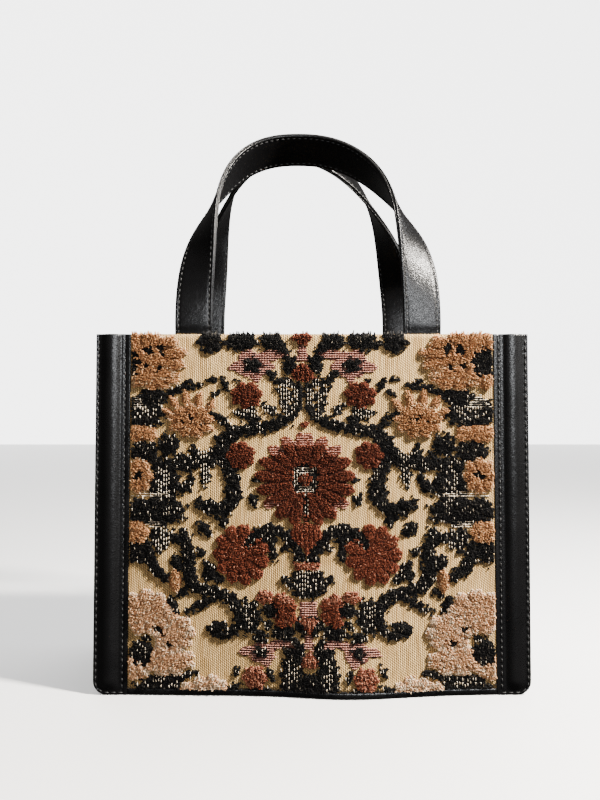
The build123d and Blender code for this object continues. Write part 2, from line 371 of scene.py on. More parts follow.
@dataclass(frozen=True)
class WeaveFinish(Finish):
    """Woven cloth, with the distance of its ribs and its depth in mm."""

    ribs: float = 1.3
    depth: float = 0.3
    sheen: float = 0.15
    gap_shade: float = 0.28
    gap_share: float = 0.9

    def material(self) -> Material:
        """Build the material.

        Returns:
            The material.
        """
        constants = {"Sheen_Weight": self.sheen, "Sheen_Roughness": 0.5, "Specular_IOR_Level": 0.2}
        graph, shader, material = self.start(**constants)
        ribs = 1 / (self.ribs * MM)
        sizes = {"Ribs per metre": ribs, "Floats per metre": 0.8 * ribs}
        cloth = graph.add("ShaderNodeGroup", sizes, node_tree=Effects.weave()).outputs
        colour = graph.blend(cloth["Slub"], self.dark, self.light)
        # Gaps between the threads are painted towards a darkened tone: painted shade in the weave's hollows.
        gap = graph.math("MULTIPLY", cloth["Gap"], self.gap_share)
        graph.feed(
            shader,
            Base_Color=graph.blend(gap, colour, self.shaded(self.gap_shade)),
            Roughness=graph.ramp(cloth["Gap"], 0.0, 1.0, 0.78, 0.95),
            Normal=self.bump(graph, cloth["Height"], self.depth),
        )
        return material


@dataclass(frozen=True)
class PileFinish(Finish):
    """Cut pile, coloured by what each tuft carries: tone, place along the tuft, and fleck."""

    fleck: Triple
    root_shade: float = 0.35
    sheen: float = 0.25

    def material(self) -> Material:
        """Build the material.

        Returns:
            The material.
        """
        constants = {"Sheen_Weight": self.sheen, "Sheen_Roughness": 0.45, "Specular_IOR_Level": 0.12}
        graph, shader, material = self.start(**constants)
        pile = graph.add("ShaderNodeAttribute", attribute_name="pile").outputs["Color"]
        tone, along, fleck = graph.add("ShaderNodeSeparateColor", {0: pile}).outputs
        colour = graph.blend(fleck, graph.blend(tone, self.dark, self.light), self.fleck)
        # Each tuft is painted darker towards its root, as painted shade deep in the pile.
        share = graph.ramp(along, 0.0, 1.0, 0.25, 1.0)
        graph.feed(
            shader,
            Base_Color=graph.blend(share, self.shaded(self.root_shade), colour),
            Roughness=graph.ramp(tone, 0.0, 1.0, 0.95, 0.75),
        )
        return material


@dataclass(frozen=True)
class FibreFinish(Finish):
    """Thread, painted edge or board: fine fibres that change in tone and gloss."""

    fibres: float = 2000.0
    gloss_low: float = 0.4
    gloss_high: float = 0.7
    detail: float = 2.0
    reflection: float = 0.45
    depth: float = 0.05

    def material(self) -> Material:
        """Build the material.

        Returns:
            The material.
        """
        graph, shader, material = self.start(Specular_IOR_Level=self.reflection)
        noise = graph.noise(graph.place(), self.fibres, self.detail)
        graph.feed(
            shader,
            Base_Color=graph.blend(noise, self.dark, self.light),
            Roughness=graph.ramp(noise, 0.0, 1.0, self.gloss_low, self.gloss_high),
            Normal=self.bump(graph, noise, self.depth),
        )
        return material


class Finishes:
    """Every finish of the bag, made once."""

    BLACK: ClassVar[Triple] = (0.0015, 0.0015, 0.0017)
    PILES: ClassVar[dict[Yarn, PileFinish]] = {
        # The black fleck colour is used only faintly, for painted glints on the black pile.
        Yarn.BLACK: PileFinish(
            "black_velvet", (0.0018, 0.0016, 0.0014), (0.006, 0.005, 0.0045), (0.85, 0.76, 0.62), sheen=0.08
        ),
        Yarn.RUST: PileFinish("rust_velvet", (0.05, 0.011, 0.005), (0.26, 0.062, 0.026), (0.66, 0.28, 0.17)),
        Yarn.TAN: PileFinish("tan_velvet", (0.17, 0.07, 0.025), (0.72, 0.35, 0.15), (0.94, 0.64, 0.37)),
        Yarn.PALE: PileFinish("pale_velvet", (0.38, 0.175, 0.075), (0.95, 0.55, 0.3), (1.0, 0.82, 0.58)),
        Yarn.PINK: PileFinish("pink_base", (0.045, 0.014, 0.01), (0.16, 0.05, 0.035), (0.3, 0.12, 0.09)),
    }

    def __init__(self) -> None:
        """Make the materials."""
        self.leather = LeatherFinish("black_leather", self.BLACK, (0.004, 0.004, 0.0044)).material()
        self.strap = LeatherFinish(
            "strap_leather", self.BLACK, (0.0045, 0.0045, 0.005), grain=0.8, gloss_high=0.32, reflection=0.24
        ).material()
        self.thread = FibreFinish("black_thread", (0.004, 0.004, 0.004), (0.014, 0.014, 0.015)).material()
        self.edge = FibreFinish(
            "strap_edge", (0.006, 0.006, 0.006), (0.02, 0.02, 0.02), 500.0, 0.35, 0.65
        ).material()
        self.ground = WeaveFinish("ground_weave", (0.46, 0.28, 0.095), (0.87, 0.6, 0.265)).material()
        self.pink_thread = FibreFinish(
            "pink_thread", (0.2, 0.075, 0.05), (0.46, 0.2, 0.145), 1250.0
        ).material()
        self.cream_thread = FibreFinish(
            "cream_thread", (0.5, 0.38, 0.25), (0.88, 0.78, 0.62), 1250.0, 0.3, 0.6
        ).material()
        self.lining = WeaveFinish(
            "lining_weave", (0.03, 0.027, 0.025), (0.07, 0.062, 0.055), 0.9, 0.15, 0.1
        ).material()
        self.board = FibreFinish(
            "base_board", (0.18, 0.14, 0.1), (0.33, 0.27, 0.2), 420.0, 0.8, 0.95, 4.0, 0.2, 0.1
        ).material()
        self.pile = {yarn: finish.material() for yarn, finish in self.PILES.items()}


class Mesher:
    """Makes mesh objects from arrays in mm."""

    @staticmethod
    def build(name: str, points: Points, faces: list[Points], finish: Material, flip: bool = False) -> Piece:
        """Make an object from points and faces.

        Args:
            name: The object's name.
            points: Places in mm, one row each.
            faces: Arrays of point numbers, each with faces of one size.
            finish: The material.
            flip: Whether the faces are turned over.

        Returns:
            The object, linked to the scene.
        """
        if flip:
            faces = [part[:, ::-1] for part in faces]
        sizes = np.concatenate([np.full(len(part), part.shape[1]) for part in faces])
        loops = np.concatenate([part.ravel() for part in faces]).astype(np.int32)
        mesh = bpy.data.meshes.new(name)
        mesh.vertices.add(len(points))
        mesh.vertices.foreach_set("co", (np.asarray(points) * MM).astype(np.float32).ravel())
        mesh.loops.add(len(loops))
        mesh.loops.foreach_set("vertex_index", loops)
        mesh.polygons.add(len(sizes))
        starts = np.concatenate([[0], np.cumsum(sizes)[:-1]]).astype(np.int32)
        mesh.polygons.foreach_set("loop_start", starts)
        mesh.polygons.foreach_set("loop_total", sizes.astype(np.int32))
        mesh.polygons.foreach_set("use_smooth", np.full(len(sizes), True))
        mesh.update(calc_edges=True)
        mesh.validate()
        mesh.materials.append(finish)
        piece = bpy.data.objects.new(name, mesh)
        bpy.context.scene.collection.objects.link(piece)
        return piece

    @staticmethod
    def quads(rows: int, columns: int, closed: bool = False, start: int = 0) -> Points:
        """Faces of a grid of points that is kept row by row.

        Args:
            rows: Number of rows.
            columns: Number of points in a row.
            closed: Whether the last column joins the first.
            start: Number of the grid's first point.

        Returns:
            Four point numbers for each face.
        """
        i, j = np.meshgrid(np.arange(rows - 1), np.arange(columns if closed else columns - 1), indexing="ij")
        i = i.ravel()
        j = j.ravel()
        k = (j + 1) % columns
        corners = (i * columns + j, i * columns + k, (i + 1) * columns + k, (i + 1) * columns + j)
        return np.stack(corners, axis=1) + start

    @classmethod
    def copies(
        cls, name: str, points: Points, faces: list[Points], finish: Material, flip: bool = False
    ) -> Piece:
        """Make one object from many small shapes with the same faces.

        Args:
            name: The object's name.
            points: Places by shape and point, in mm.
            faces: Faces of the first shape.
            finish: The material.
            flip: Whether the faces are turned over.

        Returns:
            The object.
        """
        start = (np.arange(len(points)) * points.shape[1])[:, None, None]
        parts = [(part[None] + start).reshape(-1, part.shape[1]) for part in faces]
        return cls.build(name, points.reshape(-1, 3), parts, finish, flip)

    @classmethod
    def tube(cls, name: str, rings: Points, finish: Material, capped: bool = True, flip: bool = False) -> Piece:
        """Make a sweep of closed sections.

        Args:
            name: The object's name.
            rings: Points by ring and place on the ring, in mm.
            finish: The material.
            capped: Whether the two ends get a face.
            flip: Whether the faces are turned over.

        Returns:
            The object.
        """
        count, around = rings.shape[:2]
        parts = [cls.quads(count, around, closed=True)]
        if capped:
            parts.append(np.arange(around)[::-1][None, :])
            parts.append((np.arange(around) + (count - 1) * around)[None, :])
        return cls.build(name, rings.reshape(-1, 3), parts, finish, flip)

    @classmethod
    def slab(cls, name: str, face: Points, back: Points, finish: Material, flip: bool = False) -> Piece:
        """Make a closed sheet between two grids of points.

        Args:
            name: The object's name.
            face: Outer grid, in mm.
            back: Inner grid of the same shape.
            finish: The material.
            flip: Whether the faces are turned over.

        Returns:
            The object.
        """
        rows, columns = face.shape[:2]
        count = rows * columns
        loop = np.concatenate([
            np.arange(columns), np.arange(1, rows) * columns + columns - 1,
            (rows - 1) * columns + np.arange(columns - 2, -1, -1), np.arange(rows - 2, 0, -1) * columns,
        ])
        after = np.roll(loop, -1)
        rim = np.stack([after, loop, loop + count, after + count], axis=1)
        parts = [cls.quads(rows, columns), cls.quads(rows, columns, start=count)[:, ::-1], rim]
        points = np.concatenate([face.reshape(-1, 3), back.reshape(-1, 3)])
        return cls.build(name, points, parts, finish, flip)


@dataclass(frozen=True)
class SewnRow:
    """Row of stitches: short threads that arch out of the leather between needle holes, with sizes in mm."""

    pitch: float
    thickness: float
    gap: float = 0.24
    sunk: float = 0.72
    bulge: float = 0.8
    sides: int = 5

    RISE: ClassVar[tuple[float, ...]] = (0.0, 0.9, 1.0, 0.9, 0.0)
    GIRTH: ClassVar[tuple[float, ...]] = (0.45, 0.95, 1.0, 0.95, 0.45)

    def build(self, name: str, path: Points, outward: Points, finish: Material) -> Piece:
        """Sew the row along a path.

        Args:
            name: The object's name.
            path: Points of the seam at the leather's surface.
            outward: Unit vectors out of the leather at those points.
            finish: The thread's material.

        Returns:
            One object with every stitch.
        """
        run = np.concatenate([[0], np.cumsum(np.linalg.norm(np.diff(path, axis=0), axis=1))])
        count = int(run[-1] // self.pitch)
        rows = len(self.RISE)
        begin = (run[-1] - count * self.pitch) / 2 + np.arange(count) * self.pitch + self.pitch * self.gap / 2
        at = begin[:, None] + np.linspace(0, 1, rows)[None, :] * self.pitch * (1 - self.gap)
        places = np.stack([np.interp(at, run, path[:, k]) for k in range(3)], axis=-1)
        normals = np.stack([np.interp(at, run, outward[:, k]) for k in range(3)], axis=-1)
        tangent = unit(places[:, -1] - places[:, 0])
        side = unit(np.cross(tangent[:, None, :], normals))
        lift = (np.array(self.RISE) - self.sunk) * self.thickness * self.bulge
        centre = places + normals * lift[None, :, None]
        turn = 2 * math.pi * np.arange(self.sides) / self.sides
        across = side[:, :, None, :] * np.cos(turn)[None, None, :, None]
        up = normals[:, :, None, :] * np.sin(turn)[None, None, :, None]
        radius = self.thickness / 2 * np.array(self.GIRTH)[None, :, None, None]
        points = (centre[:, :, None, :] + (across + up) * radius).reshape(count, rows * self.sides, 3)
        around = np.arange(self.sides)
        caps = np.array([around[::-1], around + (rows - 1) * self.sides])
        return Mesher.copies(name, points, [Mesher.quads(rows, self.sides, closed=True), caps], finish)


@dataclass(frozen=True)
class BagForm:
    """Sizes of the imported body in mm, and the soft shape that the pieces are laid on."""

    half_foot: float
    half_top: float
    height: float
    face: float
    cloth_back: float
    corner: float = 9.0
    band: float = 22.3
    belly: float = 3.5
    foot_bulge: float = 8.0
    foot_bulge_x: float = 28.0
    foot_bulge_width: float = 46.0
    foot_bulge_height: float = 110.0
    uneven: float = 0.35
    uneven_size: float = 26.0
    gusset_crease: float = 6.0

    FACING_TO_EDGE: ClassVar[float] = 1.35

    @classmethod
    def from_frame(cls) -> "BagForm":
        """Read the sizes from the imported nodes.

        Returns:
            The form.
        """
        cloth_low, cloth_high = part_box("front_cloth")
        return cls(
            half_foot=-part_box("front_left_band")[0][0] / MM,
            half_top=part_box("mouth_facing")[1][0] / MM + cls.FACING_TO_EDGE,
            height=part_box("gusset")[1][2] / MM,
            face=-cloth_low[1] / MM,
            cloth_back=-cloth_high[1] / MM,
        )

    def half_width(self, z: Points | float) -> Points | float:
        """Half of the width at a height, without the round corners."""
        return self.half_foot + (self.half_top - self.half_foot) * z / self.height

    def outer_edge(self, z: Points) -> Points:
        """Half of the width at a height, with the round corners at the foot."""
        low = np.clip(self.corner - z, 0.0, self.corner)
        return self.half_width(z) - self.corner + np.sqrt(self.corner**2 - low**2)

    def inner_edge(self, z: Points | float) -> Points | float:
        """Distance from the middle to the inner edge of a band."""
        return self.half_width(z) - self.band

    def web(self, y: Points) -> Points:
        """1 in the middle of the gusset and 0 at its folds."""
        return np.clip(1 - (y / self.cloth_back) ** 2, 0, 1)

    def crease(self, z: Points | float) -> Points | float:
        """How far the middle of a side folds in at a height."""
        return self.gusset_crease * ease(z / self.height * 1.2 - 0.2)

    def swell(self, x: Points, z: Points, side: Side) -> Points:
        """How far the filled panel stands out of its flat plane.

        Args:
            x: Distance from the middle, in mm.
            z: Height in mm.
            side: The panel.

        Returns:
            The distance at each place, in mm.
        """
        reach = np.clip(1 - (x / self.inner_edge(z)) ** 2, 0.0, 1.0)
        rise = np.clip(z / self.height, 0.0, 1.0)
        full = 0.55 + 0.45 * np.sin(math.pi * np.clip(rise * 1.25, 0, 1))
        body = self.belly * reach**0.9 * full * (1 - rise**3)
        foot = self.foot_bulge * np.exp(-(((x + side * self.foot_bulge_x) / self.foot_bulge_width) ** 2))
        low = reach**0.5 * np.clip(1 - z / self.foot_bulge_height, 0.0, 1.0) ** 1.5
        return body + foot * low + self.uneven * reach * ripple(x, z, self.uneven_size, 1.0 + side)

    def panel(self, x: Points, z: Points, out: Points | float, side: Side) -> Points:
        """Points on a panel.

        Args:
            x: Distance from the middle, in mm.
            z: Height in mm.
            out: Distance outside the cloth's flat face.
            side: The panel.

        Returns:
            Places in mm, with the last axis as x, y and z.
        """
        x, z, out = np.broadcast_arrays(x, z, out)
        return np.stack([x, side * (self.face + out + self.swell(x, z, side)), z], axis=-1)


@dataclass(frozen=True)
class Flower:
    """Round motif with petals, of a reach across and a rise up."""

    u: float
    v: float
    reach: float
    rise: float
    lobes: int = 7
    depth: float = 0.16
    turn: float = 0.0
    fullness: float = 1.03
    petal_tip: float = 0.75
    heart: float = 1.7

    def polar(self, u: Points, v: Points) -> tuple[Points, Points]:
        """Direction from the middle, and distance as a share of the flower's size."""
        a = (u - self.u) / self.reach
        b = (v - self.v) / self.rise
        return np.arctan2(b, a), np.hypot(a, b)

    def inside(self, u: Points, v: Points) -> Points:
        """Distance in mm from the edge, less than 0 outside."""
        petal = self.petals(u, v) ** self.petal_tip
        return (self.fullness - self.depth * (1 - petal) - self.polar(u, v)[1]) * min(self.reach, self.rise)

    def petals(self, u: Points, v: Points) -> Points:
        """1 along the middle of each petal, and 0 between two petals outside the heart."""
        angle, distance = self.polar(u, v)
        return np.maximum(np.abs(np.cos(self.lobes / 2 * (angle - self.turn))), 1 - self.heart * distance)


@dataclass(frozen=True)
class Leaf:
    """Pointed leaf, with its angle in degrees from the outward direction."""

    u: float
    v: float
    length: float
    width: float
    angle: float
    vein: float = 1.4

    def turned(self, u: Points, v: Points) -> tuple[Points, Points]:
        """Places along and across the leaf, as shares of its half sizes."""
        c = math.cos(math.radians(self.angle))
        s = math.sin(math.radians(self.angle))
        along = ((u - self.u) * c + (v - self.v) * s) / (self.length / 2)
        return along, (-(u - self.u) * s + (v - self.v) * c) / (self.width / 2)

    def inside(self, u: Points, v: Points) -> Points:
        """Distance in mm from the edge, as in Flower."""
        along, across = self.turned(u, v)
        return (1 - np.abs(along) ** 1.7 - np.abs(across) ** 1.2) * self.width / 2

    def petals(self, u: Points, v: Points) -> Points:
        """1 along the middle vein and 0 at the sides."""
        return np.clip(1 - np.abs(self.turned(u, v)[1]) * self.vein, 0, 1)


@dataclass(frozen=True)
class Vine:
    """Stem along given points, each with its own width."""

    route: tuple[Triple, ...]
    steps: int = 6

    def inside(self, u: Points, v: Points) -> Points:
        """Distance from the edge, along a smooth line through the points.

        Args:
            u: Places outwards.
            v: Places upwards.

        Returns:
            Distances in mm, less than 0 outside.
        """
        knots = np.array(self.route)
        knots = np.vstack([2 * knots[0] - knots[1], knots, 2 * knots[-1] - knots[-2]])
        best = np.full(np.shape(u), -9.0)
        for index in range(1, len(knots) - 2):
            p0, p1, p2, p3 = knots[index - 1 : index + 3]
            bends = (2 * p1, p2 - p0, 2 * p0 - 5 * p1 + 4 * p2 - p3, 3 * p1 - p0 - 3 * p2 + p3)
            for t in np.linspace(0, 1, self.steps + 1)[:-1]:
                spot = 0.5 * sum(bend * t**power for power, bend in enumerate(bends))
                best = np.maximum(best, spot[2] / 2 - np.hypot(u - spot[0], v - spot[1]))
        return best

    def petals(self, u: Points, v: Points) -> Points:
        """Plain stems have no petals."""
        return np.full(np.shape(u), 0.5)


@dataclass(frozen=True)
class Patch:
    """Straight-sided motif with its corners in order, left-hand turns or right-hand turns only."""

    corners: tuple[tuple[float, float], ...]
    ribs: float = 2.2

    def inside(self, u: Points, v: Points) -> Points:
        """Distance from the nearest side.

        Args:
            u: Places outwards.
            v: Places upwards.

        Returns:
            Distances in mm, less than 0 outside.
        """
        points = np.array(self.corners, float)
        after = np.roll(points, -1, axis=0)
        turn = np.sign(np.sum(points[:, 0] * after[:, 1] - points[:, 1] * after[:, 0]))
        depth = np.full(np.shape(u), 9.0)
        for (au, av), (bu, bv) in zip(points, after):
            size = math.hypot(bu - au, bv - av)
            depth = np.minimum(depth, turn * ((bu - au) * (v - av) - (bv - av) * (u - au)) / size)
        return depth

    def petals(self, u: Points, v: Points) -> Points:
        """Upright ribs."""
        return 0.5 + 0.5 * np.cos(u * self.ribs)


Motif = Flower | Leaf | Vine | Patch
Motifs = tuple[Motif, ...]


@dataclass(frozen=True)
class Pattern:
    """The figured velvet: which yarn stands at each place of the panel, its tone and its flecks.

    Places are in mm: u outwards from the pattern's middle line, and v the height. Both halves mirror each
    other, and a motif later in the order lies over an earlier one.
    """

    foot: float = -1.0
    lean: float = -0.0242
    right_spread: float = 0.04
    spread_reach: float = 110.0
    ragged_cell: float = 1.6
    ragged_black: float = 1.0
    ragged_bloom: float = 0.4
    ragged_fine: float = 0.22
    leafy: float = 1.5
    leafy_bloom: float = 0.3
    leafy_size: float = 2.6
    edge_slope: float = 2.4
    edge_plush: float = 0.62
    crease_slope: float = 2.3
    crease_plush: float = 0.45
    thread_plush: float = 0.55
    rim_plush: float = 0.3
    clump: float = 1.5
    clump_low: float = 0.86
    clump_range: float = 0.28
    chestnut: float = 112.0
    chestnut_shade: float = 0.24
    tone_spread: float = 0.17

    # Black stems and hooks of the scroll
    VINES: ClassVar[Motifs] = tuple(Vine(route) for route in (
        ((66, 198, 3), (76, 197, 4.5), (88, 192, 6), (99, 188, 9)),
        ((2.8, 189, 4.5), (5.5, 182, 6.5), (11, 176.5, 7.5), (20, 172.5, 7.5), (38, 169.5, 8),
         (47, 166, 9.5), (53, 158, 10), (60, 151, 11), (72, 149, 10), (86, 147, 9)),
        ((52, 151, 8), (47, 141, 8.5), (44.5, 130, 9), (50.5, 120.5, 9.5), (60, 119, 8.5), (69, 124, 5)),
        ((33, 188, 5), (34.5, 180, 7), (30, 174, 6)),
        ((46, 168, 5), (52, 176, 5), (60, 181, 4)),
        ((4, 89, 7), (8, 97, 7), (16, 104, 8), (24, 106, 8), (32, 103, 7.5), (38, 98, 5)),
        ((22, 105, 6), (23, 96, 6.5), (21.5, 87, 4.5)),
        ((79, 104, 7), (76, 94, 8.5), (76.5, 82, 10), (73, 71.5, 9), (62, 66.5, 8), (51, 63.5, 8),
         (44.5, 55, 8), (45, 45.5, 7), (52.5, 39.5, 6.5), (60, 41, 6)),
        ((102, 96, 8), (100, 86, 7.5), (94, 78, 7), (87, 74.5, 5)),
        ((77, 54, 3.5), (69, 58, 4.5), (61, 64, 5)),
        ((72, 14.5, 3.5), (81, 13, 5), (91, 8.5, 7)),
        ((4, 66, 6), (10, 71, 5.5), (16, 76.5, 4)),
    ))
    # Black leaves, blobs and clusters between the flowers
    LEAVES: ClassVar[Motifs] = (
        Flower(58.5, 225.5, 7.5, 7, 5, 0.2), Flower(38, 227, 8.8, 7, 5, 0.16), Leaf(14, 221, 21, 10, 48),
        Leaf(8, 211, 14, 9, 120), Leaf(9, 199.5, 16, 6, 15), Leaf(10.5, 192.5, 18, 6.5, 35),
        Leaf(11, 184.5, 17, 6.5, 62), Leaf(2.6, 195, 17, 5, 90), Leaf(50, 199, 10, 5.5, 60),
        Flower(103, 181, 16, 9.5, 6, 0.16), Flower(96, 191, 9, 6, 5, 0.16), Flower(87, 160, 7, 8, 5, 0.2),
        Flower(103, 155, 9.5, 8, 5, 0.16), Flower(90.5, 136, 10, 17, 6, 0.14),
        Flower(97, 117.5, 20, 9.5, 7, 0.16), Leaf(76, 134, 17, 8, -45), Leaf(63.5, 141, 17, 7, 95),
        Leaf(65, 106.5, 13, 8, 40), Leaf(84, 101, 13, 8, 30), Leaf(83, 85, 13, 8, 70),
        Flower(94, 100, 6.5, 8.5, 5, 0.18), Flower(110, 93, 7, 9, 5, 0.16),
        Flower(37.5, 51, 6.8, 11.5, 6, 0.16), Leaf(86.5, 57.5, 15, 7.5, 70), Leaf(63.5, 78, 11, 7.5, 100),
        Leaf(58.5, 44, 16, 8, -20), Flower(31, 38, 5, 4.4, 5, 0.16), Flower(14.5, 40, 5.4, 7, 5, 0.2),
        Flower(11.5, 14.5, 6.6, 15.5, 6, 0.18), Leaf(46.5, 16.5, 9, 4.5, 115), Leaf(50, 5.5, 12, 4.5, -20),
        Flower(32, 3, 12, 3.6, 4, 0.3), Flower(96, 6.5, 15, 7, 6, 0.16), Flower(7, 8, 11, 9, 5, 0.2),
        Flower(18, 41, 6, 5, 5, 0.2), Leaf(36.5, 179.5, 18, 7.5, 12), Leaf(22, 183, 13, 6, 40),
        Leaf(47, 129, 15, 9, 60), Leaf(63, 122, 14, 8, -15), Leaf(53, 112, 10, 6, 80),
        Leaf(73, 139, 9, 5, -70), Leaf(62, 81, 13, 9, 60), Leaf(57, 75, 9, 6, 10), Leaf(68, 92, 8, 6, 30),
        Leaf(80, 66, 11, 5, -30), Leaf(47, 60, 12, 6, 40), Leaf(52, 163, 11, 7, 30),
        Leaf(70, 155, 12, 6, 70), Leaf(80, 152, 10, 5, -60), Leaf(27, 100, 10, 7, -40),
        Leaf(13, 95, 9, 5, -50), Leaf(58, 202, 8, 4, -20), Leaf(72, 200, 8, 4, 30), Leaf(25, 14, 9, 5, 70),
        Leaf(26, 46, 8, 5, 100), Leaf(4, 195, 9, 5, 60), Leaf(16, 200, 8, 5, 30), Leaf(22, 224, 9, 6, 20),
        Patch(((-8.5, 85.8), (-5, 90.4), (5, 90.4), (8.5, 85.8))),
        Patch(((-9, 80.6), (9, 80.6), (9.5, 74), (4.5, 63), (-4.5, 63), (-9.5, 74))),
        Flower(0, 46, 9.5, 7, 5, 0.1), Flower(9, 28, 6.5, 10, 5, 0.15), Flower(20, 226, 8, 5, 5, 0.2),
        Leaf(64, 226, 9, 5, -20), Leaf(46, 224, 10, 5, 20), Leaf(20, 205, 16, 6, 40),
        Leaf(56, 193, 8, 4.5, -30), Leaf(41, 200, 6, 3.5, 40), Leaf(33, 125, 9, 6, 70),
        Leaf(31, 138, 6, 5, 90),
    )
    # Flat striped flowers, and the pink parts of the middle column
    PINK: ClassVar[Motifs] = (
        Flower(31, 211, 10, 8, 5, 0.24, 0.3), Leaf(39.5, 210, 16, 8, -4), Leaf(30.5, 205.5, 12, 8, 85),
        Leaf(24, 211, 13, 7, 12), Leaf(20.5, 217.5, 21, 6.5, -3), Leaf(36.5, 216, 13, 7, 125),
        Flower(30.5, 28.5, 9, 6.4, 5, 0.24, 0.2), Leaf(39, 29, 13, 6, -8), Leaf(21, 33.5, 19, 5.5, 165),
        Leaf(28, 23, 9, 6, 80), Leaf(14, 34, 12, 4.5, 20),
        Patch(((-3.6, 213.4), (-2.6, 223.5), (2.6, 223.5), (3.6, 213.4))),
        Patch(((-5.5, 51.4), (-5, 60.5), (5, 60.5), (5.5, 51.4))),
        Patch(((-2.6, 30.6), (-2.2, 39.6), (2.2, 39.6), (2.6, 30.6))),
    )
    # The lower peony and the daisy at the foot
    PALE: ClassVar[Motifs] = (
        Flower(104, 53, 17.5, 14.5, 9, 0.2, 0.2), Flower(87, 41, 14, 12.5, 8, 0.22),
        Flower(92, 23, 18.5, 10, 9, 0.22), Flower(112, 18, 10, 8, 5, 0.12),
        Flower(70.8, 8, 4.4, 4.6, 5, 0.1), Flower(62.4, 9, 4.4, 4.8, 5, 0.1),
        Flower(56.8, 6.2, 3.6, 4.2, 5, 0.1), Flower(78.5, 5.6, 4.4, 4, 5, 0.1),
        Flower(68, 3.4, 13, 3.4, 7, 0.1),
    )
    # Top corner flower, daisy, half leaf, diamond rosette, small flower and bud
    TAN: ClassVar[Motifs] = (
        Flower(102, 216.5, 28, 16.5, 11, 0.2, 0.1), Flower(95, 203, 16, 8, 9, 0.22),
        Leaf(112, 200, 10, 8, 90), Flower(72, 175.5, 14.5, 11, 9, 0.26, 0.2), Leaf(59.5, 185, 11, 5, 125),
        Leaf(67, 188, 14, 5.2, 102), Leaf(75, 189, 14, 5.2, 85), Leaf(82, 186, 13, 5.2, 62),
        Leaf(86, 180.5, 11, 5, 30), Flower(106, 167.5, 12.5, 5.4, 5, 0.2),
        Flower(107, 140.5, 9.6, 11.6, 8, 0.2), Flower(108.6, 104.5, 7.6, 7.4, 6, 0.2),
        Leaf(84.5, 73.5, 15, 8.5, 90),
    )
    # Buds, rounds, blooms, the big rosette and the parts of the middle column
    RUST: ClassVar[Motifs] = (
        Flower(36.3, 192, 10, 8.4, 7, 0.2, 0.3), Flower(40.8, 153.5, 9, 8.8, 7, 0.22),
        Flower(41.8, 90.5, 17.6, 19, 11, 0.2), Flower(16, 55, 8.6, 11, 5, 0.2),
        Flower(27.5, 63.5, 5.4, 4.4, 5, 0.15), Flower(35.2, 12.2, 7.8, 7.4, 6, 0.2),
        Leaf(12, 121, 20, 13, -50), Flower(0, 228.5, 6, 4.6, 6, 0.12),
        Patch(((-8, 203), (-5, 209), (0, 213), (5, 209), (8, 203), (0, 200))),
        Flower(0, 138, 31, 29, 18, 0.24, 0.1), Flower(0, 173, 2.2, 2, 5, 0.1),
        Patch(((-10.5, 103), (-7.5, 110), (7.5, 110), (10.5, 103), (0, 90.5))),
        Patch(((-8, 81), (-8, 85.5), (8, 85.5), (8, 81))),
        Patch(((-6.5, 48.5), (-4, 51), (4, 51), (6.5, 48.5), (0, 40))),
        Patch(((-5, 19), (-5.5, 24), (0, 30), (5.5, 24), (5, 19))),
    )
    # Black middles of the flowers
    EYES: ClassVar[Motifs] = (
        Flower(111.5, 213, 7.5, 9.2, 6, 0.14), Leaf(90, 221.5, 8, 5.5, 80), Leaf(98, 220.5, 8, 5.5, 100),
        Leaf(100, 211, 5, 3, 60), Leaf(92, 209, 5, 2.6, 120), Flower(31.5, 211, 6.2, 4.8, 5, 0.25, 0.6),
        Flower(107.5, 27.5, 7.2, 8.6, 6, 0.14), Leaf(89, 33.5, 7, 3.6, 30),
        Flower(31, 28.5, 4.2, 3.6, 5, 0.2), Flower(24.5, 55, 5.6, 4.4, 5, 0.2),
        Patch(((-8, 129.6), (-8, 146.8), (8, 146.8), (8, 129.6))), Leaf(0, 121, 19, 3.4, 90),
        Flower(107, 140.5, 2.6, 3.0, 5, 0.2), Flower(72, 177, 2.2, 1.8, 5, 0.2), Leaf(66, 174, 4, 1.8, 95),
        Leaf(77, 174, 4, 1.8, 85), Leaf(96, 42, 9, 3.4, 35), Leaf(104, 37, 8, 4, 10),
        Vine(((20, 105.5, 7), (28, 105, 7), (34, 101.5, 6.5), (37.5, 96, 5))),
    )
    # Rust spot in the middle of the rosette
    CORES: ClassVar[Motifs] = (
        Flower(0, 138.2, 4.6, 4.2, 4, 0.2),
    )
    # Low parts of the rosette, crossed by pink stripes
    RIMS: ClassVar[Motifs] = (
        Flower(5, 164.5, 14, 4.2), Flower(20, 158, 7, 4), Flower(24, 121, 7, 4),
    )
    # Brightest pale flowers, at the foot and beside the lower peony
    DAISIES: ClassVar[Motifs] = (
        Flower(67, 8.5, 12, 5), Flower(90, 14, 16, 4), Flower(77, 44, 3.5, 9),
    )
    # Rust parts with much light fleck
    CORAL: ClassVar[Motifs] = (
        Flower(35.2, 12.2, 9, 9), Flower(0, 24, 7, 8), Flower(27.5, 63.5, 6, 5),
        Patch(((-9, 80), (-9, 87), (9, 87), (9, 80))), Flower(14, 64, 6, 4), Flower(0, 48, 7, 4),
    )
    # Places with short upright cream flecks
    DASHES: ClassVar[Motifs] = (
        Flower(10, 190, 8, 12), Flower(64, 140, 4.5, 10), Flower(92, 100, 5.5, 8), Leaf(0, 121, 19, 4, 90),
        Patch(((4.6, 130), (4.6, 146.6), (9, 146.6), (9, 130))), Flower(37, 181, 8, 4),
        Flower(23, 184, 5, 4), Flower(11.5, 14.5, 3.6, 11), Flower(103, 181, 10, 4.5),
        Flower(63, 155, 5, 4), Flower(0, 77, 8, 11), Flower(90.5, 136, 4.5, 12), Flower(37.5, 51, 3.4, 8),
        Flower(96, 7, 10, 4),
    )
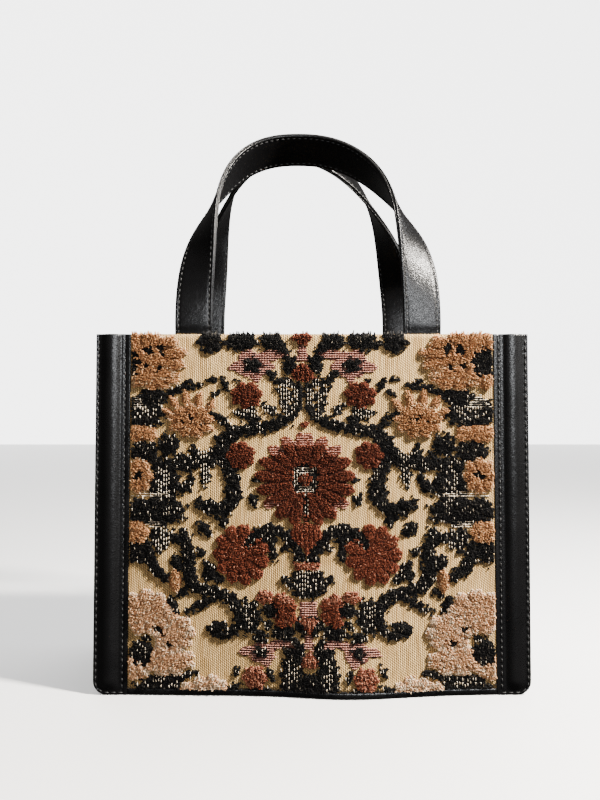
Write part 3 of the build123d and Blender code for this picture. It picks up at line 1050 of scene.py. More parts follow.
    # Places with thin level cream stripes
    STRIPES: ClassVar[Motifs] = (
        Patch(((100, 184), (116, 184), (108, 193))), Flower(99, 128.5, 16, 2.2), Flower(97, 109.5, 6, 3),
        Patch(((-5.4, 141.4), (-5.4, 147), (5.4, 147), (5.4, 141.4))),
        Patch(((-5, 129.6), (-5, 134.8), (5, 134.8), (5, 129.6))),
    )
    # Places whose pile edges are painted bright cream, as a painted highlight on the rims
    FRINGES: ClassVar[Motifs] = (
        Flower(104, 53, 17.5, 14.5, 9, 0.2, 0.2), Flower(87, 41, 14, 12.5, 8, 0.22),
        Flower(92, 23, 18.5, 10, 9, 0.22), Flower(67.5, 6, 14, 8, 7, 0.16),
        Flower(102, 216.5, 28, 16.5, 11, 0.2, 0.1), Flower(95, 203, 16, 8, 9, 0.22),
        Flower(72, 175.5, 14.5, 11, 9, 0.26, 0.2), Flower(107, 140.5, 9.6, 11.6, 8, 0.2),
    )

    def local(self, x: Points, z: Points) -> tuple[Points, Points]:
        """Places on the pattern.

        Args:
            x: Distances from the bag's middle in mm.
            z: Heights in mm.

        Returns:
            Distances from the pattern's middle line, and heights.
        """
        signed = x - (self.foot + self.lean * z)
        spread = 1 + self.right_spread * (signed / self.spread_reach) ** 2
        return np.where(signed > 0, signed / spread, -signed), z

    @staticmethod
    def deepest(motifs: Motifs, u: Points, v: Points) -> Points:
        """Largest distance inside any of the motifs."""
        return np.max([motif.inside(u, v) for motif in motifs], axis=0)

    @staticmethod
    def cells(x: Points, z: Points, size: float, random: Random) -> Points:
        """Random value from 0 to 1 that is the same all over each small cell."""
        table = random.random((400, 400))
        return table[(z // size).astype(int) % 400, (x // size).astype(int) % 400]

    def layers(self) -> tuple[tuple[Yarn, Motifs], ...]:
        """Motifs with their yarn, from the lowest layer up."""
        return (
            (Yarn.BLACK, self.VINES), (Yarn.BLACK, self.LEAVES), (Yarn.PALE, self.PALE), (Yarn.TAN, self.TAN),
            (Yarn.PINK, self.PINK), (Yarn.RUST, self.RUST), (Yarn.BLACK, self.EYES), (Yarn.RUST, self.CORES),
        )

    def yarns(self, x: Points, z: Points, random: Random) -> dict[str, Points]:
        """What stands at each place.

        Args:
            x: Distances from the bag's middle in mm.
            z: Heights in mm.
            random: Source of the small unevenness.

        Returns:
            Arrays: "yarn" numbers, "tone" and "fleck" from 0 to 1, and "plush", a share of the full height.
        """
        u, v = self.local(x, z)
        yarn = np.full(x.shape, Yarn.GROUND.value)
        tone = np.full(x.shape, 0.5)
        plush = np.ones(x.shape)
        cell = 2 * self.cells(x, z, self.ragged_cell, random) - 1
        fine = self.ragged_fine * random.standard_normal(x.shape)
        leafy = self.leafy * ripple(u, v, self.leafy_size, 2.0)
        for kind, motifs in self.layers():
            ragged = self.ragged_black if kind is Yarn.BLACK else self.ragged_bloom
            notches = leafy if kind is Yarn.BLACK else self.leafy_bloom * leafy
            for motif in motifs:
                depth = motif.inside(u, v) + ragged * cell + fine + notches
                covered = depth > 0
                yarn[covered] = kind.value
                petal = motif.petals(u[covered], v[covered])
                inner = np.clip(depth[covered] / self.edge_slope, 0, 1)
                crease = np.clip(petal * self.crease_slope, 0, 1)
                # Painted light in the tone: painted shade in the creases between petals, painted highlight
                # towards each motif's edge.
                tone[covered] = np.clip(0.1 + 0.55 * crease + 0.25 * (1 - inner) + 0.1 * petal, 0, 1)
                body = self.edge_plush + (1 - self.edge_plush) * inner
                plush[covered] = body * (self.crease_plush + (1 - self.crease_plush) * crease)
        for motif in self.DASHES + self.STRIPES:
            plush[(motif.inside(u, v) > 0) & (yarn == Yarn.BLACK.value)] *= self.thread_plush
        rust = yarn == Yarn.RUST.value
        tone[rust & (v > self.chestnut)] -= self.chestnut_shade
        plush[(self.deepest(self.RIMS, u, v) > 0) & rust] *= self.rim_plush
        plush *= self.clump_low + self.clump_range * self.cells(x, z, self.clump, random)
        fleck = self.flecks(u, v, yarn, random)
        tone = np.clip(tone + self.tone_spread * random.standard_normal(x.shape), 0, 1)
        return {"yarn": yarn, "tone": tone, "fleck": fleck, "plush": plush}

    def flecks(self, u: Points, v: Points, yarn: Points, random: Random) -> Points:
        """Bright tufts: painted rim highlights on light flowers, painted glints on black, and flecks, more near
        the foot.

        Args:
            u: Places outwards.
            v: Places upwards.
            yarn: Yarn numbers at the places.
            random: Source of the scatter.

        Returns:
            How much of the fleck's colour each tuft has, from 0 to 1.
        """
        fleck = np.zeros(u.shape)
        black = yarn == Yarn.BLACK.value
        rust = yarn == Yarn.RUST.value
        light = (yarn == Yarn.PALE.value) | (yarn == Yarn.TAN.value)
        # Cream at the edges of the light flowers is a painted highlight on their rims.
        for motif in self.FRINGES:
            depth = motif.inside(u, v)
            edge = light & (depth > -0.6) & (depth < 1.1)
            fleck[edge & (random.random(u.shape) < 0.5)] = 0.8
        scatter = random.random(u.shape)
        low = np.clip(1.3 - v / 110, 0.15, 1)
        coral = self.deepest(self.CORAL, u, v) > 0
        fleck[rust & (scatter < np.where(coral, 0.55, 0.1 * low))] = 0.7
        bright = self.deepest(self.DAISIES, u, v) > 0
        fleck[light & (scatter < np.where(bright, 0.6, 0.15 * low))] = 0.75
        # Painted glints: a few black tufts take a little cream, as light caught on the fibres.
        painted_glint = black & (scatter < 0.12)
        fleck[painted_glint] = (0.01 + 0.07 * random.random(u.shape))[painted_glint]
        return fleck


@dataclass(frozen=True)
class VelvetPile:
    """Cut pile on one panel, tuft by tuft, with sizes in mm."""

    form: BagForm
    side: Side
    spread: float = 1.0
    pitch_x: float = 0.9
    pitch_z: float = 0.76
    width: float = 1.18
    depth: float = 0.92
    margin: float = 0.7
    foot: float = 4.6
    overhang: float = 2.6
    overhang_reach: float = 4.0
    seed: int = 5

    HEIGHTS: ClassVar[dict[Yarn, float]] = {
        Yarn.BLACK: 2.1, Yarn.RUST: 2.6, Yarn.TAN: 2.9, Yarn.PALE: 2.7, Yarn.PINK: 0.4,
    }
    CORNERS: ClassVar[tuple[Triple, ...]] = (
        (-1, -1, 0), (1, -1, 0), (1, 1, 0), (-1, 1, 0), (-0.6, 0, 1), (0.6, 0, 1),
    )

    def places(self, random: Random) -> tuple[Points, Points]:
        """Where the tufts are rooted.

        Args:
            random: Source of their uneven places.

        Returns:
            Places across and up, in mm.
        """
        heights = np.arange(self.foot, self.form.height - 0.2, self.pitch_z * self.spread)
        widths = np.arange(-self.form.half_foot, self.form.half_foot, self.pitch_x * self.spread)
        x, z = np.meshgrid(widths, heights)
        x = x + (np.arange(len(heights)) % 2)[:, None] * self.pitch_x / 2
        x = (x + random.normal(0, 0.13, x.shape)).ravel()
        z = (z + random.normal(0, 0.1, z.shape)).ravel()
        keep = np.abs(x) < self.form.inner_edge(z) - self.margin
        return x[keep], z[keep]

    def build(self, finishes: Finishes) -> None:
        """Make one piece for each yarn.

        Args:
            finishes: The materials.
        """
        random = np.random.default_rng(self.seed)
        x, z = self.places(random)
        stand = Pattern().yarns(-self.side * x, z, random)
        for kind in self.HEIGHTS:
            chosen = stand["yarn"] == kind.value
            part = {key: values[chosen] for key, values in stand.items()}
            self.piece(kind, x[chosen], z[chosen], part, finishes.pile[kind])

    def piece(self, kind: Yarn, x: Points, z: Points, stand: dict[str, Points], finish: Material) -> None:
        """Tufts of one yarn: a ridge each, leaning a little, and leaning over the mouth in the top row.

        Args:
            kind: The yarn.
            x: Roots, across.
            z: Roots, up.
            stand: Tone, fleck and plushness of each tuft.
            finish: The yarn's material.
        """
        random = np.random.default_rng(self.seed + kind.value)
        count = len(x)
        tall = self.HEIGHTS[kind] * stand["plush"] * random.uniform(0.8, 1.12, count)
        half_w = self.spread * self.width / 2 * random.uniform(0.85, 1.15, count)
        half_d = self.spread * self.depth / 2 * random.uniform(0.9, 1.15, count)
        lean_x = random.normal(0, 0.17, count) * tall
        top = np.clip(1 - (self.form.height - z) / self.overhang_reach, 0, 1)
        lean_z = random.normal(-0.08, 0.15, count) * tall
        lean_z = lean_z + self.overhang * top * random.uniform(0.3, 1.3, count)
        corners = []
        for sx, sz, out in self.CORNERS:
            px = x + sx * half_w + lean_x * out
            pz = z + sz * half_d + lean_z * out
            corners.append(self.form.panel(px, pz, tall * out + 0.02, self.side))
        faces = [np.array([[0, 1, 5, 4], [2, 3, 4, 5]]), np.array([[1, 2, 5], [3, 0, 4]])]
        label = kind.name.lower()
        name = f"{self.side.label}_{label}_velvet"
        piece = Mesher.copies(name, np.stack(corners, axis=1), faces, finish, self.side is Side.BACK)
        data = np.ones((count, len(self.CORNERS), 4))
        data[:, :, 0] = stand["tone"][:, None]
        # Root corners carry 0 along the tuft, where the material paints shade at the roots.
        data[:, :4, 1] = 0.0
        data[:, :, 2] = stand["fleck"][:, None]
        layer = piece.data.attributes.new("pile", "FLOAT_COLOR", "POINT")
        layer.data.foreach_set("color", data.astype(np.float32).ravel())
        attach(piece, f"{label}_pile", f"{self.side.label}_{label}_pile")


@dataclass(frozen=True)
class Floats:
    """Threads that lie on the figures: short upright cream dashes, and level pink and cream stripes."""

    form: BagForm
    side: Side
    dash_pitch: float = 1.7
    dash_step: float = 2.7
    dash_length: float = 2.0
    stripe_pitch: float = 1.5
    stripe_step: float = 1.6
    width: float = 0.46
    stripe_width: float = 0.76
    overlap: float = 1.08
    thin: float = 0.8
    dash_out: float = 1.7
    stripe_out: float = 0.75
    seed: int = 11

    def dash_share(self, u: Points, v: Points) -> Points:
        """Chance of a dash in each place of the black figures.

        Args:
            u: Places outwards.
            v: Places upwards.

        Returns:
            Chances from 0 to 1.
        """
        share = np.interp(v, (50, 120, 180, 215), (0.24, 0.2, 0.13, 0.02))
        return np.where(Pattern.deepest(Pattern.DASHES, u, v) > 0, 0.7, share)

    def spots(self, across: float, up: float, random: Random) -> tuple[Points, Points]:
        """Middles of the places on the panel that a float may take, in staggered columns.

        Args:
            across: Distance between columns in mm.
            up: Distance between rows in mm.
            random: Source of their uneven places.

        Returns:
            Places across and up, in mm.
        """
        rows = np.arange(6.0, self.form.height - 2, up)
        columns = np.arange(-self.form.half_foot, self.form.half_foot, across)
        x, z = np.meshgrid(columns, rows)
        z = z + random.uniform(0, up, len(columns))[None, :] * (up > across)
        x = x.ravel()
        z = z.ravel() + random.normal(0, 0.06, x.size)
        keep = (np.abs(x) < self.form.inner_edge(z) - 1.6) & (z < self.form.height - 1.5)
        return x[keep], z[keep]

    def dashes(self, random: Random) -> tuple[Points, Points]:
        """Middles of the cream dashes.

        Args:
            random: Source of the choice.

        Returns:
            Places across and up, in mm.
        """
        x, z = self.spots(self.dash_pitch, self.dash_step, random)
        u, v = Pattern().local(-self.side * x, z)
        dark = Pattern.deepest(Pattern.VINES + Pattern.LEAVES + Pattern.EYES, u, v) > -0.3
        light = Pattern.deepest(Pattern.TAN + Pattern.PALE + Pattern.PINK + Pattern.RUST, u, v) > 0
        eyes = Pattern.deepest(Pattern.EYES, u, v) > 0
        chosen = dark & (eyes | ~light) & (random.random(x.shape) < self.dash_share(u, v))
        return x[chosen], z[chosen]

    def stripes(self, random: Random) -> tuple[tuple[Points, Points], tuple[Points, Points]]:
        """Middles of the level stripes.

        Args:
            random: Source of their ragged ends.

        Returns:
            Places across and up of the cream stripes, and of the pink ones.
        """
        x, z = self.spots(self.stripe_step, self.stripe_pitch, random)
        u, v = Pattern().local(-self.side * x, z)
        depth = Pattern.deepest(Pattern.STRIPES, u, v) + random.uniform(-0.9, 0.3, x.shape)
        pink = Pattern.deepest(Pattern.PINK, u, v)
        cream = (depth > 0) & (pink < 0)
        held = Pattern.deepest(Pattern.EYES + Pattern.RUST, u, v) > 0
        rim = (Pattern.deepest(Pattern.RIMS, u, v) > 0) & (random.random(x.shape) < 0.75)
        rim &= Pattern.deepest(Pattern.RUST, u, v) > -0.5
        rosy = ((pink + random.uniform(-0.9, 0.9, x.shape) > 0) & ~held) | rim
        return (x[cream], z[cream]), (x[rosy], z[rosy])

    def build(self, finishes: Finishes) -> None:
        """Make the cream and the pink floats.

        Args:
            finishes: The materials.
        """
        random = np.random.default_rng(self.seed)
        dashes = self.dashes(random)
        cream, rosy = self.stripes(random)
        face = self.side.label
        dash = (self.width, self.dash_length, self.dash_out)
        stripe = (self.stripe_step * self.overlap, self.stripe_width, self.stripe_out)
        thin = (stripe[0], self.stripe_width * self.thin, self.stripe_out)
        attach(self.piece(f"{face}_cream_dashes", *dashes, dash, finishes.cream_thread), "black_pile")
        attach(self.piece(f"{face}_cream_stripes", *cream, thin, finishes.cream_thread), "black_pile")
        attach(self.piece(f"{face}_pink_stripes", *rosy, stripe, finishes.pink_thread), "pink_pile")

    def piece(self, name: str, x: Points, z: Points, size: Triple, finish: Material) -> Piece:
        """Rounded thread pieces.

        Args:
            name: The piece's name.
            x: Middles, across.
            z: Middles, up.
            size: How wide and how tall each float is, and how far it stands out of the cloth, in mm.
            finish: The thread's material.

        Returns:
            The piece.
        """
        wide, tall, out = size
        random = np.random.default_rng(self.seed + len(name))
        half_w = wide / 2 * random.uniform(0.9, 1.1, len(x))
        half_t = tall / 2 * random.uniform(0.85, 1.15, len(x))
        height = out * random.uniform(0.85, 1.15, len(x))
        round_w, round_t = (0.45, 0.7) if wide < tall else (0.88, 0.45)
        corners = []
        for share_w, share_t, share in ((1, 1, 0.0), (round_w, round_t, 1.0)):
            for sx, sz in ((-1, -1), (1, -1), (1, 1), (-1, 1)):
                px = x + sx * half_w * share_w
                pz = z + sz * half_t * share_t
                corners.append(self.form.panel(px, pz, 0.05 + height * share, self.side))
        box = np.array([[0, 1, 5, 4], [1, 2, 6, 5], [2, 3, 7, 6], [3, 0, 4, 7], [4, 5, 6, 7]])
        return Mesher.copies(name, np.stack(corners, axis=1), [box], finish, self.side is Side.BACK)


@dataclass(frozen=True)
class ClothPanel:
    """Ground cloth of one panel."""

    form: BagForm
    side: Side
    tuck: float = 5.6
    foot: float = 4.3
    step: float = 3.0
    columns: int = 90
    middle: float = 115.0

    def build(self, finishes: Finishes) -> None:
        """Make the closed sheet.

        Args:
            finishes: The materials.
        """
        face = self.side.label
        rows = np.linspace(self.foot, self.form.height, int(self.form.height / self.step))
        across = np.linspace(-1, 1, self.columns)
        z = np.repeat(rows[:, None], len(across), axis=1)
        x = across[None, :] * (self.form.inner_edge(z) + self.tuck)
        thick = self.form.face - self.form.cloth_back
        outer = self.form.panel(x, z, 0.0, self.side)
        inner = self.form.panel(x, z, 0.02 - thick, self.side)
        flip = self.side is Side.BACK
        piece = Mesher.slab(f"{face}_ground_cloth", outer, inner, finishes.ground, flip)
        width = 2 * (float(self.form.inner_edge(self.middle)) + self.tuck) * MM
        attach(piece, "ground_cloth", f"{face}_cloth")


@dataclass(frozen=True)
class LeatherBand:
    """Padded leather band with two sewn rows, at the left or the right of a panel, with sizes in mm."""

    form: BagForm
    side: Side
    end: Hand
    lip: float = 0.6
    crown: float = 2.2
    crown_start: float = 3.8
    crown_end: float = 16.0
    cover: float = 16.4
    outer_seam: float = 1.75
    inner_seam: float = 18.7
    groove: float = 0.45
    seam_pitch: float = 4.4
    inner_pitch: float = 4.1
    thread: float = 0.75
    seam_top: float = 1.5
    seam_foot: float = 2.0
    seam_points: int = 120
    step: float = 1.25

    def edge_distance(self, x: Points, z: Points) -> Points:
        """Distance in from the outline, which is round at the foot.

        Args:
            x: Distances from the bag's middle in mm.
            z: Heights in mm.

        Returns:
            Distances in mm.
        """
        radius = self.form.corner
        dx = self.form.half_width(z) - np.abs(x)
        dz = z + 0 * x
        near = (dx < radius) & (dz < radius)
        rounded = radius - np.hypot(radius - np.minimum(dx, radius), radius - np.minimum(dz, radius))
        return np.where(near, rounded, np.minimum(dx, dz))

    def relief(self, x: Points, z: Points) -> Points:
        """Height of the leather over the cloth's face.

        Args:
            x: Distances from the bag's middle in mm.
            z: Heights in mm.

        Returns:
            Heights in mm, with the padded crown, the sewn channels and the rounded edges.
        """
        depth = self.edge_distance(x, z)
        inward = self.form.half_width(z) - np.abs(x)
        half = (self.crown_end - self.crown_start) / 2
        outer = 1 - np.clip(1 - (depth - self.crown_start) / half, 0, 1) ** 2
        inner = 1 - np.clip(1 - (self.crown_end - inward) / half, 0, 1) ** 2
        uneven = 1 + 0.05 * ripple(x * 2, z, 17.0, self.end + self.side)
        height = self.lip + self.crown * np.clip(outer, 0, 1) * np.clip(inner, 0, 1) * uneven
        seams = ((self.outer_seam, depth, self.seam_pitch), (self.inner_seam, inward, self.inner_pitch))
        for seam, place, pitch in seams:
            pull = np.exp(-(((place - seam) / 0.75) ** 2))
            dimple = 0.7 + 0.3 * np.cos(2 * math.pi * z / pitch)
            height = height - self.groove * pull * dimple
        roll = np.clip(1 - depth / 0.7, 0, 1)
        inner_roll = np.clip(1 - (self.form.band - inward) / 0.6, 0, 1)
        top_roll = np.clip(1 - (self.form.height - z) / 1.0, 0, 1)
        return height - 0.6 * roll**2 - 0.5 * inner_roll**2 - 0.45 * top_roll**2

    def seam(self, inset: float, around: bool) -> tuple[Points, Points]:
        """Course of a sewn row, from the top down.

        Args:
            inset: Distance from the outer edge in mm.
            around: Whether the row turns with the round corner and runs on along the foot.

        Returns:
            Points in mm, and the directions out of the leather there.
        """
        low = self.form.corner if around else self.seam_foot
        z = np.linspace(self.form.height - self.seam_top, low, self.seam_points)
        x = self.form.half_width(z) - inset
        if around:
            radius = self.form.corner - inset
            turn = np.linspace(0, math.pi / 2, 14)
            centre = self.form.half_width(0.0) - self.form.corner
            x = np.concatenate([x, centre + radius * np.cos(turn), [self.form.inner_edge(0.0) + 0.5]])
            z = np.concatenate([z, self.form.corner - radius * np.sin(turn), [inset]])
        x = x * self.end
        y = self.side * (self.form.face + self.relief(x, z) + 0.25)
        return np.stack([x, y, z], axis=1), np.tile([0.0, float(self.side), 0.0], (len(x), 1))

    def grid(self) -> tuple[Points, Points]:
        """Points of the leather, closer together at its edges and seams.

        Returns:
            Places across and up, in mm.
        """
        top = self.form.height - np.array([0.9, 0.5, 0.2, 0.0])
        rows = np.concatenate([[0.0, 0.25, 0.6], np.arange(1.1, self.form.height - 1, self.step), top])
        inset = np.concatenate([
            [0, 0.12, 0.3, 0.6], np.linspace(1.0, 3.6, 9), np.linspace(4.2, 16.2, 16),
            np.linspace(16.9, 21.3, 12), [21.7, 22.0, 22.2, self.form.band],
        ]) / self.form.band
        z = np.repeat(rows[:, None], len(inset), axis=1)
        outer = self.form.outer_edge(z)
        return self.end * (outer - inset[None, :] * (outer - self.form.inner_edge(z))), z

    def build(self, finishes: Finishes) -> None:
        """Make the leather and its stitches.

        Args:
            finishes: The materials.
        """
        name = f"{self.side.label}_{self.end.label}"
        x, z = self.grid()
        top = np.stack([x, self.side * (self.form.face + self.relief(x, z)), z], axis=-1)
        inward = self.form.half_width(z) - np.abs(x)
        under = np.where(inward < self.cover, self.form.cloth_back, self.form.face + 0.03)
        back = np.stack([x, self.side * under, z], axis=-1)
        piece = Mesher.slab(f"{name}_edge", top, back, finishes.leather, flip=self.side * self.end < 0)
        attach(piece, "black_leather", f"{name}_band")
        seams = {"outer": (self.outer_seam, self.seam_pitch), "inner": (self.inner_seam, self.inner_pitch)}
        for label, (inset, pitch) in seams.items():
            row = SewnRow(pitch, self.thread)
            path, outward = self.seam(inset, label == "outer")
            attach(row.build(f"{name}_{label}_stitches", path, outward, finishes.thread), "black_leather")


@dataclass(frozen=True)
class FootTrim:
    """Thin leather strip along the foot of a panel."""

    form: BagForm
    side: Side
    height: float = 4.3
    out: float = 0.6

    def build(self, finishes: Finishes) -> None:
        """Make the strip, which follows the belly of the cloth.

        Args:
            finishes: The materials.
        """
        face = self.side.label
        reach = float(self.form.inner_edge(0.0))
        x = np.linspace(-reach, reach, 150)
        inner = self.form.cloth_back - self.form.face
        section = (
            (0.0, inner), (0.0, -0.6), (0.25, 0.1), (0.9, self.out), (self.height - 0.9, self.out),
            (self.height - 0.25, self.out - 0.2), (self.height, 0.05), (self.height, inner),
        )
        rings = np.stack([self.form.panel(x, z, out, self.side) for z, out in section], axis=1)
        piece = Mesher.tube(f"{face}_foot_strip", rings, finishes.leather, flip=self.side is Side.FRONT)
        attach(piece, "black_leather", f"{face}_foot_trim")


@dataclass(frozen=True)
class Gusset:
    """Side, base and side in one leather strip, folded along both long edges."""

    form: BagForm
    leather: float = 1.5
    flange: float = 12.0
    fold: float = 1.6
    sag: float = 0.5

    def spine(self) -> tuple[Points, Points, Points, Points]:
        """Middle line of the strip, from the left mouth under the base to the right mouth.

        Returns:
            Its x and z in mm, and the x and z of the direction out of the leather.
        """
        down = np.linspace(self.form.height, self.form.corner, 70)
        turn = np.linspace(0, math.pi / 2, 12)[1:-1]
        flat = np.linspace(-1, 1, 60) * (self.form.half_foot - self.form.corner)
        radius = self.form.corner
        x = np.concatenate([
            -self.form.half_width(down), -(self.form.half_width(0.0) - radius) - radius * np.cos(turn), flat,
            (self.form.half_width(0.0) - radius) + radius * np.cos(turn[::-1]),
            self.form.half_width(down[::-1]),
        ])
        low = radius - radius * np.sin(turn)
        z = np.concatenate([down, low, 0 * flat, low[::-1], down[::-1]])
        nx = np.concatenate([-1 + 0 * down, -np.cos(turn), 0 * flat, np.cos(turn[::-1]), 1 + 0 * down])
        nz = np.concatenate([0 * down, -np.sin(turn), -1 + 0 * flat, -np.sin(turn[::-1]), 0 * down])
        return x, z, nx, nz

    def build(self, finishes: Finishes) -> None:
        """Make the folded strip.

        Args:
            finishes: The materials.
        """
        x, z, nx, nz = self.spine()
        edge = self.form.cloth_back
        half = edge - self.fold
        across = np.linspace(-half, half, 41)
        bend = np.linspace(0, math.pi / 2, 6)[1:]
        front_y = -half - self.fold * np.sin(bend[::-1])
        front_in = self.fold * (1 - np.cos(bend[::-1]))
        y = np.concatenate([[-edge, -edge], front_y, across, -front_y[::-1], [edge, edge]])
        depth = np.concatenate([[self.flange, 5.0], front_in, 0 * across, front_in[::-1], [5.0, self.flange]])
        web = self.form.web(y)[None, :]
        rise = (z / self.form.height)[:, None]
        upright = (np.abs(nx) > 0.99)[:, None]
        inward = depth[None, :] + self.form.crease(z)[:, None] * web**1.5 * upright
        inward = inward + self.sag * web * rise * (1 + ripple(y[None, :], z[:, None], 31.0, 2.0))
        front, back = (self.form.swell(x, 0 * x, side)[:, None] for side in Side)
        share = np.clip(np.abs(y[None, :]) / edge, 0, 1) ** 3
        shift = np.sign(y[None, :]) * np.where(y[None, :] < 0, front, back) * share * (nz < -0.99)[:, None]
        across = (x[:, None] - nx[:, None] * inward, y[None, :] + shift, z[:, None] - nz[:, None] * inward)
        face = np.stack(across, axis=-1)
        normal = unit(np.cross(np.gradient(face, axis=0), np.gradient(face, axis=1)))
        within = -np.stack([nx, 0 * nx, nz], -1)[:, None, :]
        inner = face + normal * self.leather * np.sign(np.sum(normal * within, axis=-1).mean())
        piece = Mesher.slab("side_and_base_leather", face, inner, finishes.leather)
        attach(piece, "black_leather", "gusset")


@dataclass(frozen=True)
class Inside:
    """Lining bag, leather facing round the mouth, and the base board."""

    form: BagForm
    inset: float = 1.9
    depth: float = 55.2
    lining: float = 0.8
    facing: float = 1.05
    facing_height: float = 33.0
    floor: float = 3.75
    radius: float = 4.0
    ease_off: float = 1.2
    seam_depth: float = 3.0

    def loop(self, z: float, inset: float) -> Points:
        """Points of a rounded oblong at a height.

        Args:
            z: Height in mm.
            inset: How far it is moved in, in mm.

        Returns:
            Places in mm, all round.
        """
        a = float(self.form.half_width(z)) - self.inset - inset
        b = self.depth - inset
        radius = max(self.radius - inset, 1.0)
        turn = np.linspace(0, math.pi / 2, 7)
        corners = []
        for index, (sx, sy) in enumerate(((1, 1), (-1, 1), (-1, -1), (1, -1))):
            angle = turn + index * math.pi / 2
            x = sx * (a - radius) + radius * np.cos(angle)
            y = sy * (b - radius) + radius * np.sin(angle)
            corners.append(np.stack([x, y], axis=1))
        points = []
        for index, corner in enumerate(corners):
            after = corners[(index + 1) % 4]
            points.append(corner)
            points.append(corner[-1] + (after[0] - corner[-1]) * np.linspace(0, 1, 26)[1:-1, None])
        flat = np.concatenate(points)
        side = np.abs(flat[:, 0]) > a - radius - 0.5
        fold = (self.form.crease(z) + self.ease_off) * self.form.web(flat[:, 1]) ** 1.5
        flat[:, 0] -= np.sign(flat[:, 0]) * fold * side
        return np.column_stack([flat, np.full(len(flat), z)])

    def wall(self, name: str, low: float, high: float, thick: float, finish: Material, floor: bool) -> Piece:
        """Closed wall between two heights.

        Args:
            name: The piece's name.
            low: Lower edge in mm.
            high: Upper edge in mm.
            thick: The cloth's thickness in mm.
            finish: The material.
            floor: Whether the wall has a floor.

        Returns:
            The piece.
        """
        heights = np.linspace(low, high, 24)
        outer = [self.loop(z, 0.0) for z in heights]
        inner = [self.loop(z, thick) for z in heights[::-1]]
        if not floor:
            return Mesher.tube(name, np.array(outer + inner + outer[:1]), finish, capped=False)
        shrink = np.linspace(1, 0.02, 6)
        lower = [self.loop(low, 0.0) * [s, s, 1] for s in shrink[::-1]]
        upper = [self.loop(low, thick) * [s, s, 1] + [0, 0, thick] for s in shrink]
        return Mesher.tube(name, np.array(lower + outer[1:] + inner[:-1] + upper), finish)

    def build(self, finishes: Finishes) -> None:
        """Make the lining and the facing, and give the board its finish.

        Args:
            finishes: The materials.
        """
        top = self.form.height - self.facing_height
        lining = self.wall("lining_bag", self.floor, top, self.lining, finishes.lining, True)
        facing = self.wall("mouth_leather", top + 0.05, self.form.height, self.facing, finishes.leather, False)
        width = 2 * float(self.form.half_width(100.0)) * MM
        attach(lining, "lining_cloth", "lining")
        attach(facing, "black_leather", "mouth_facing")
        ring = self.loop(self.form.height - self.seam_depth, self.facing)
        ring = np.vstack([ring, ring[:1]])
        row = SewnRow(4.0, 0.7).build("mouth_stitches", ring, unit(-ring * [1, 1, 0]), finishes.thread)
        attach(row, "black_leather")
        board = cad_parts["base_board"]
        board.data.materials.clear()
        board.data.materials.append(finishes.board)


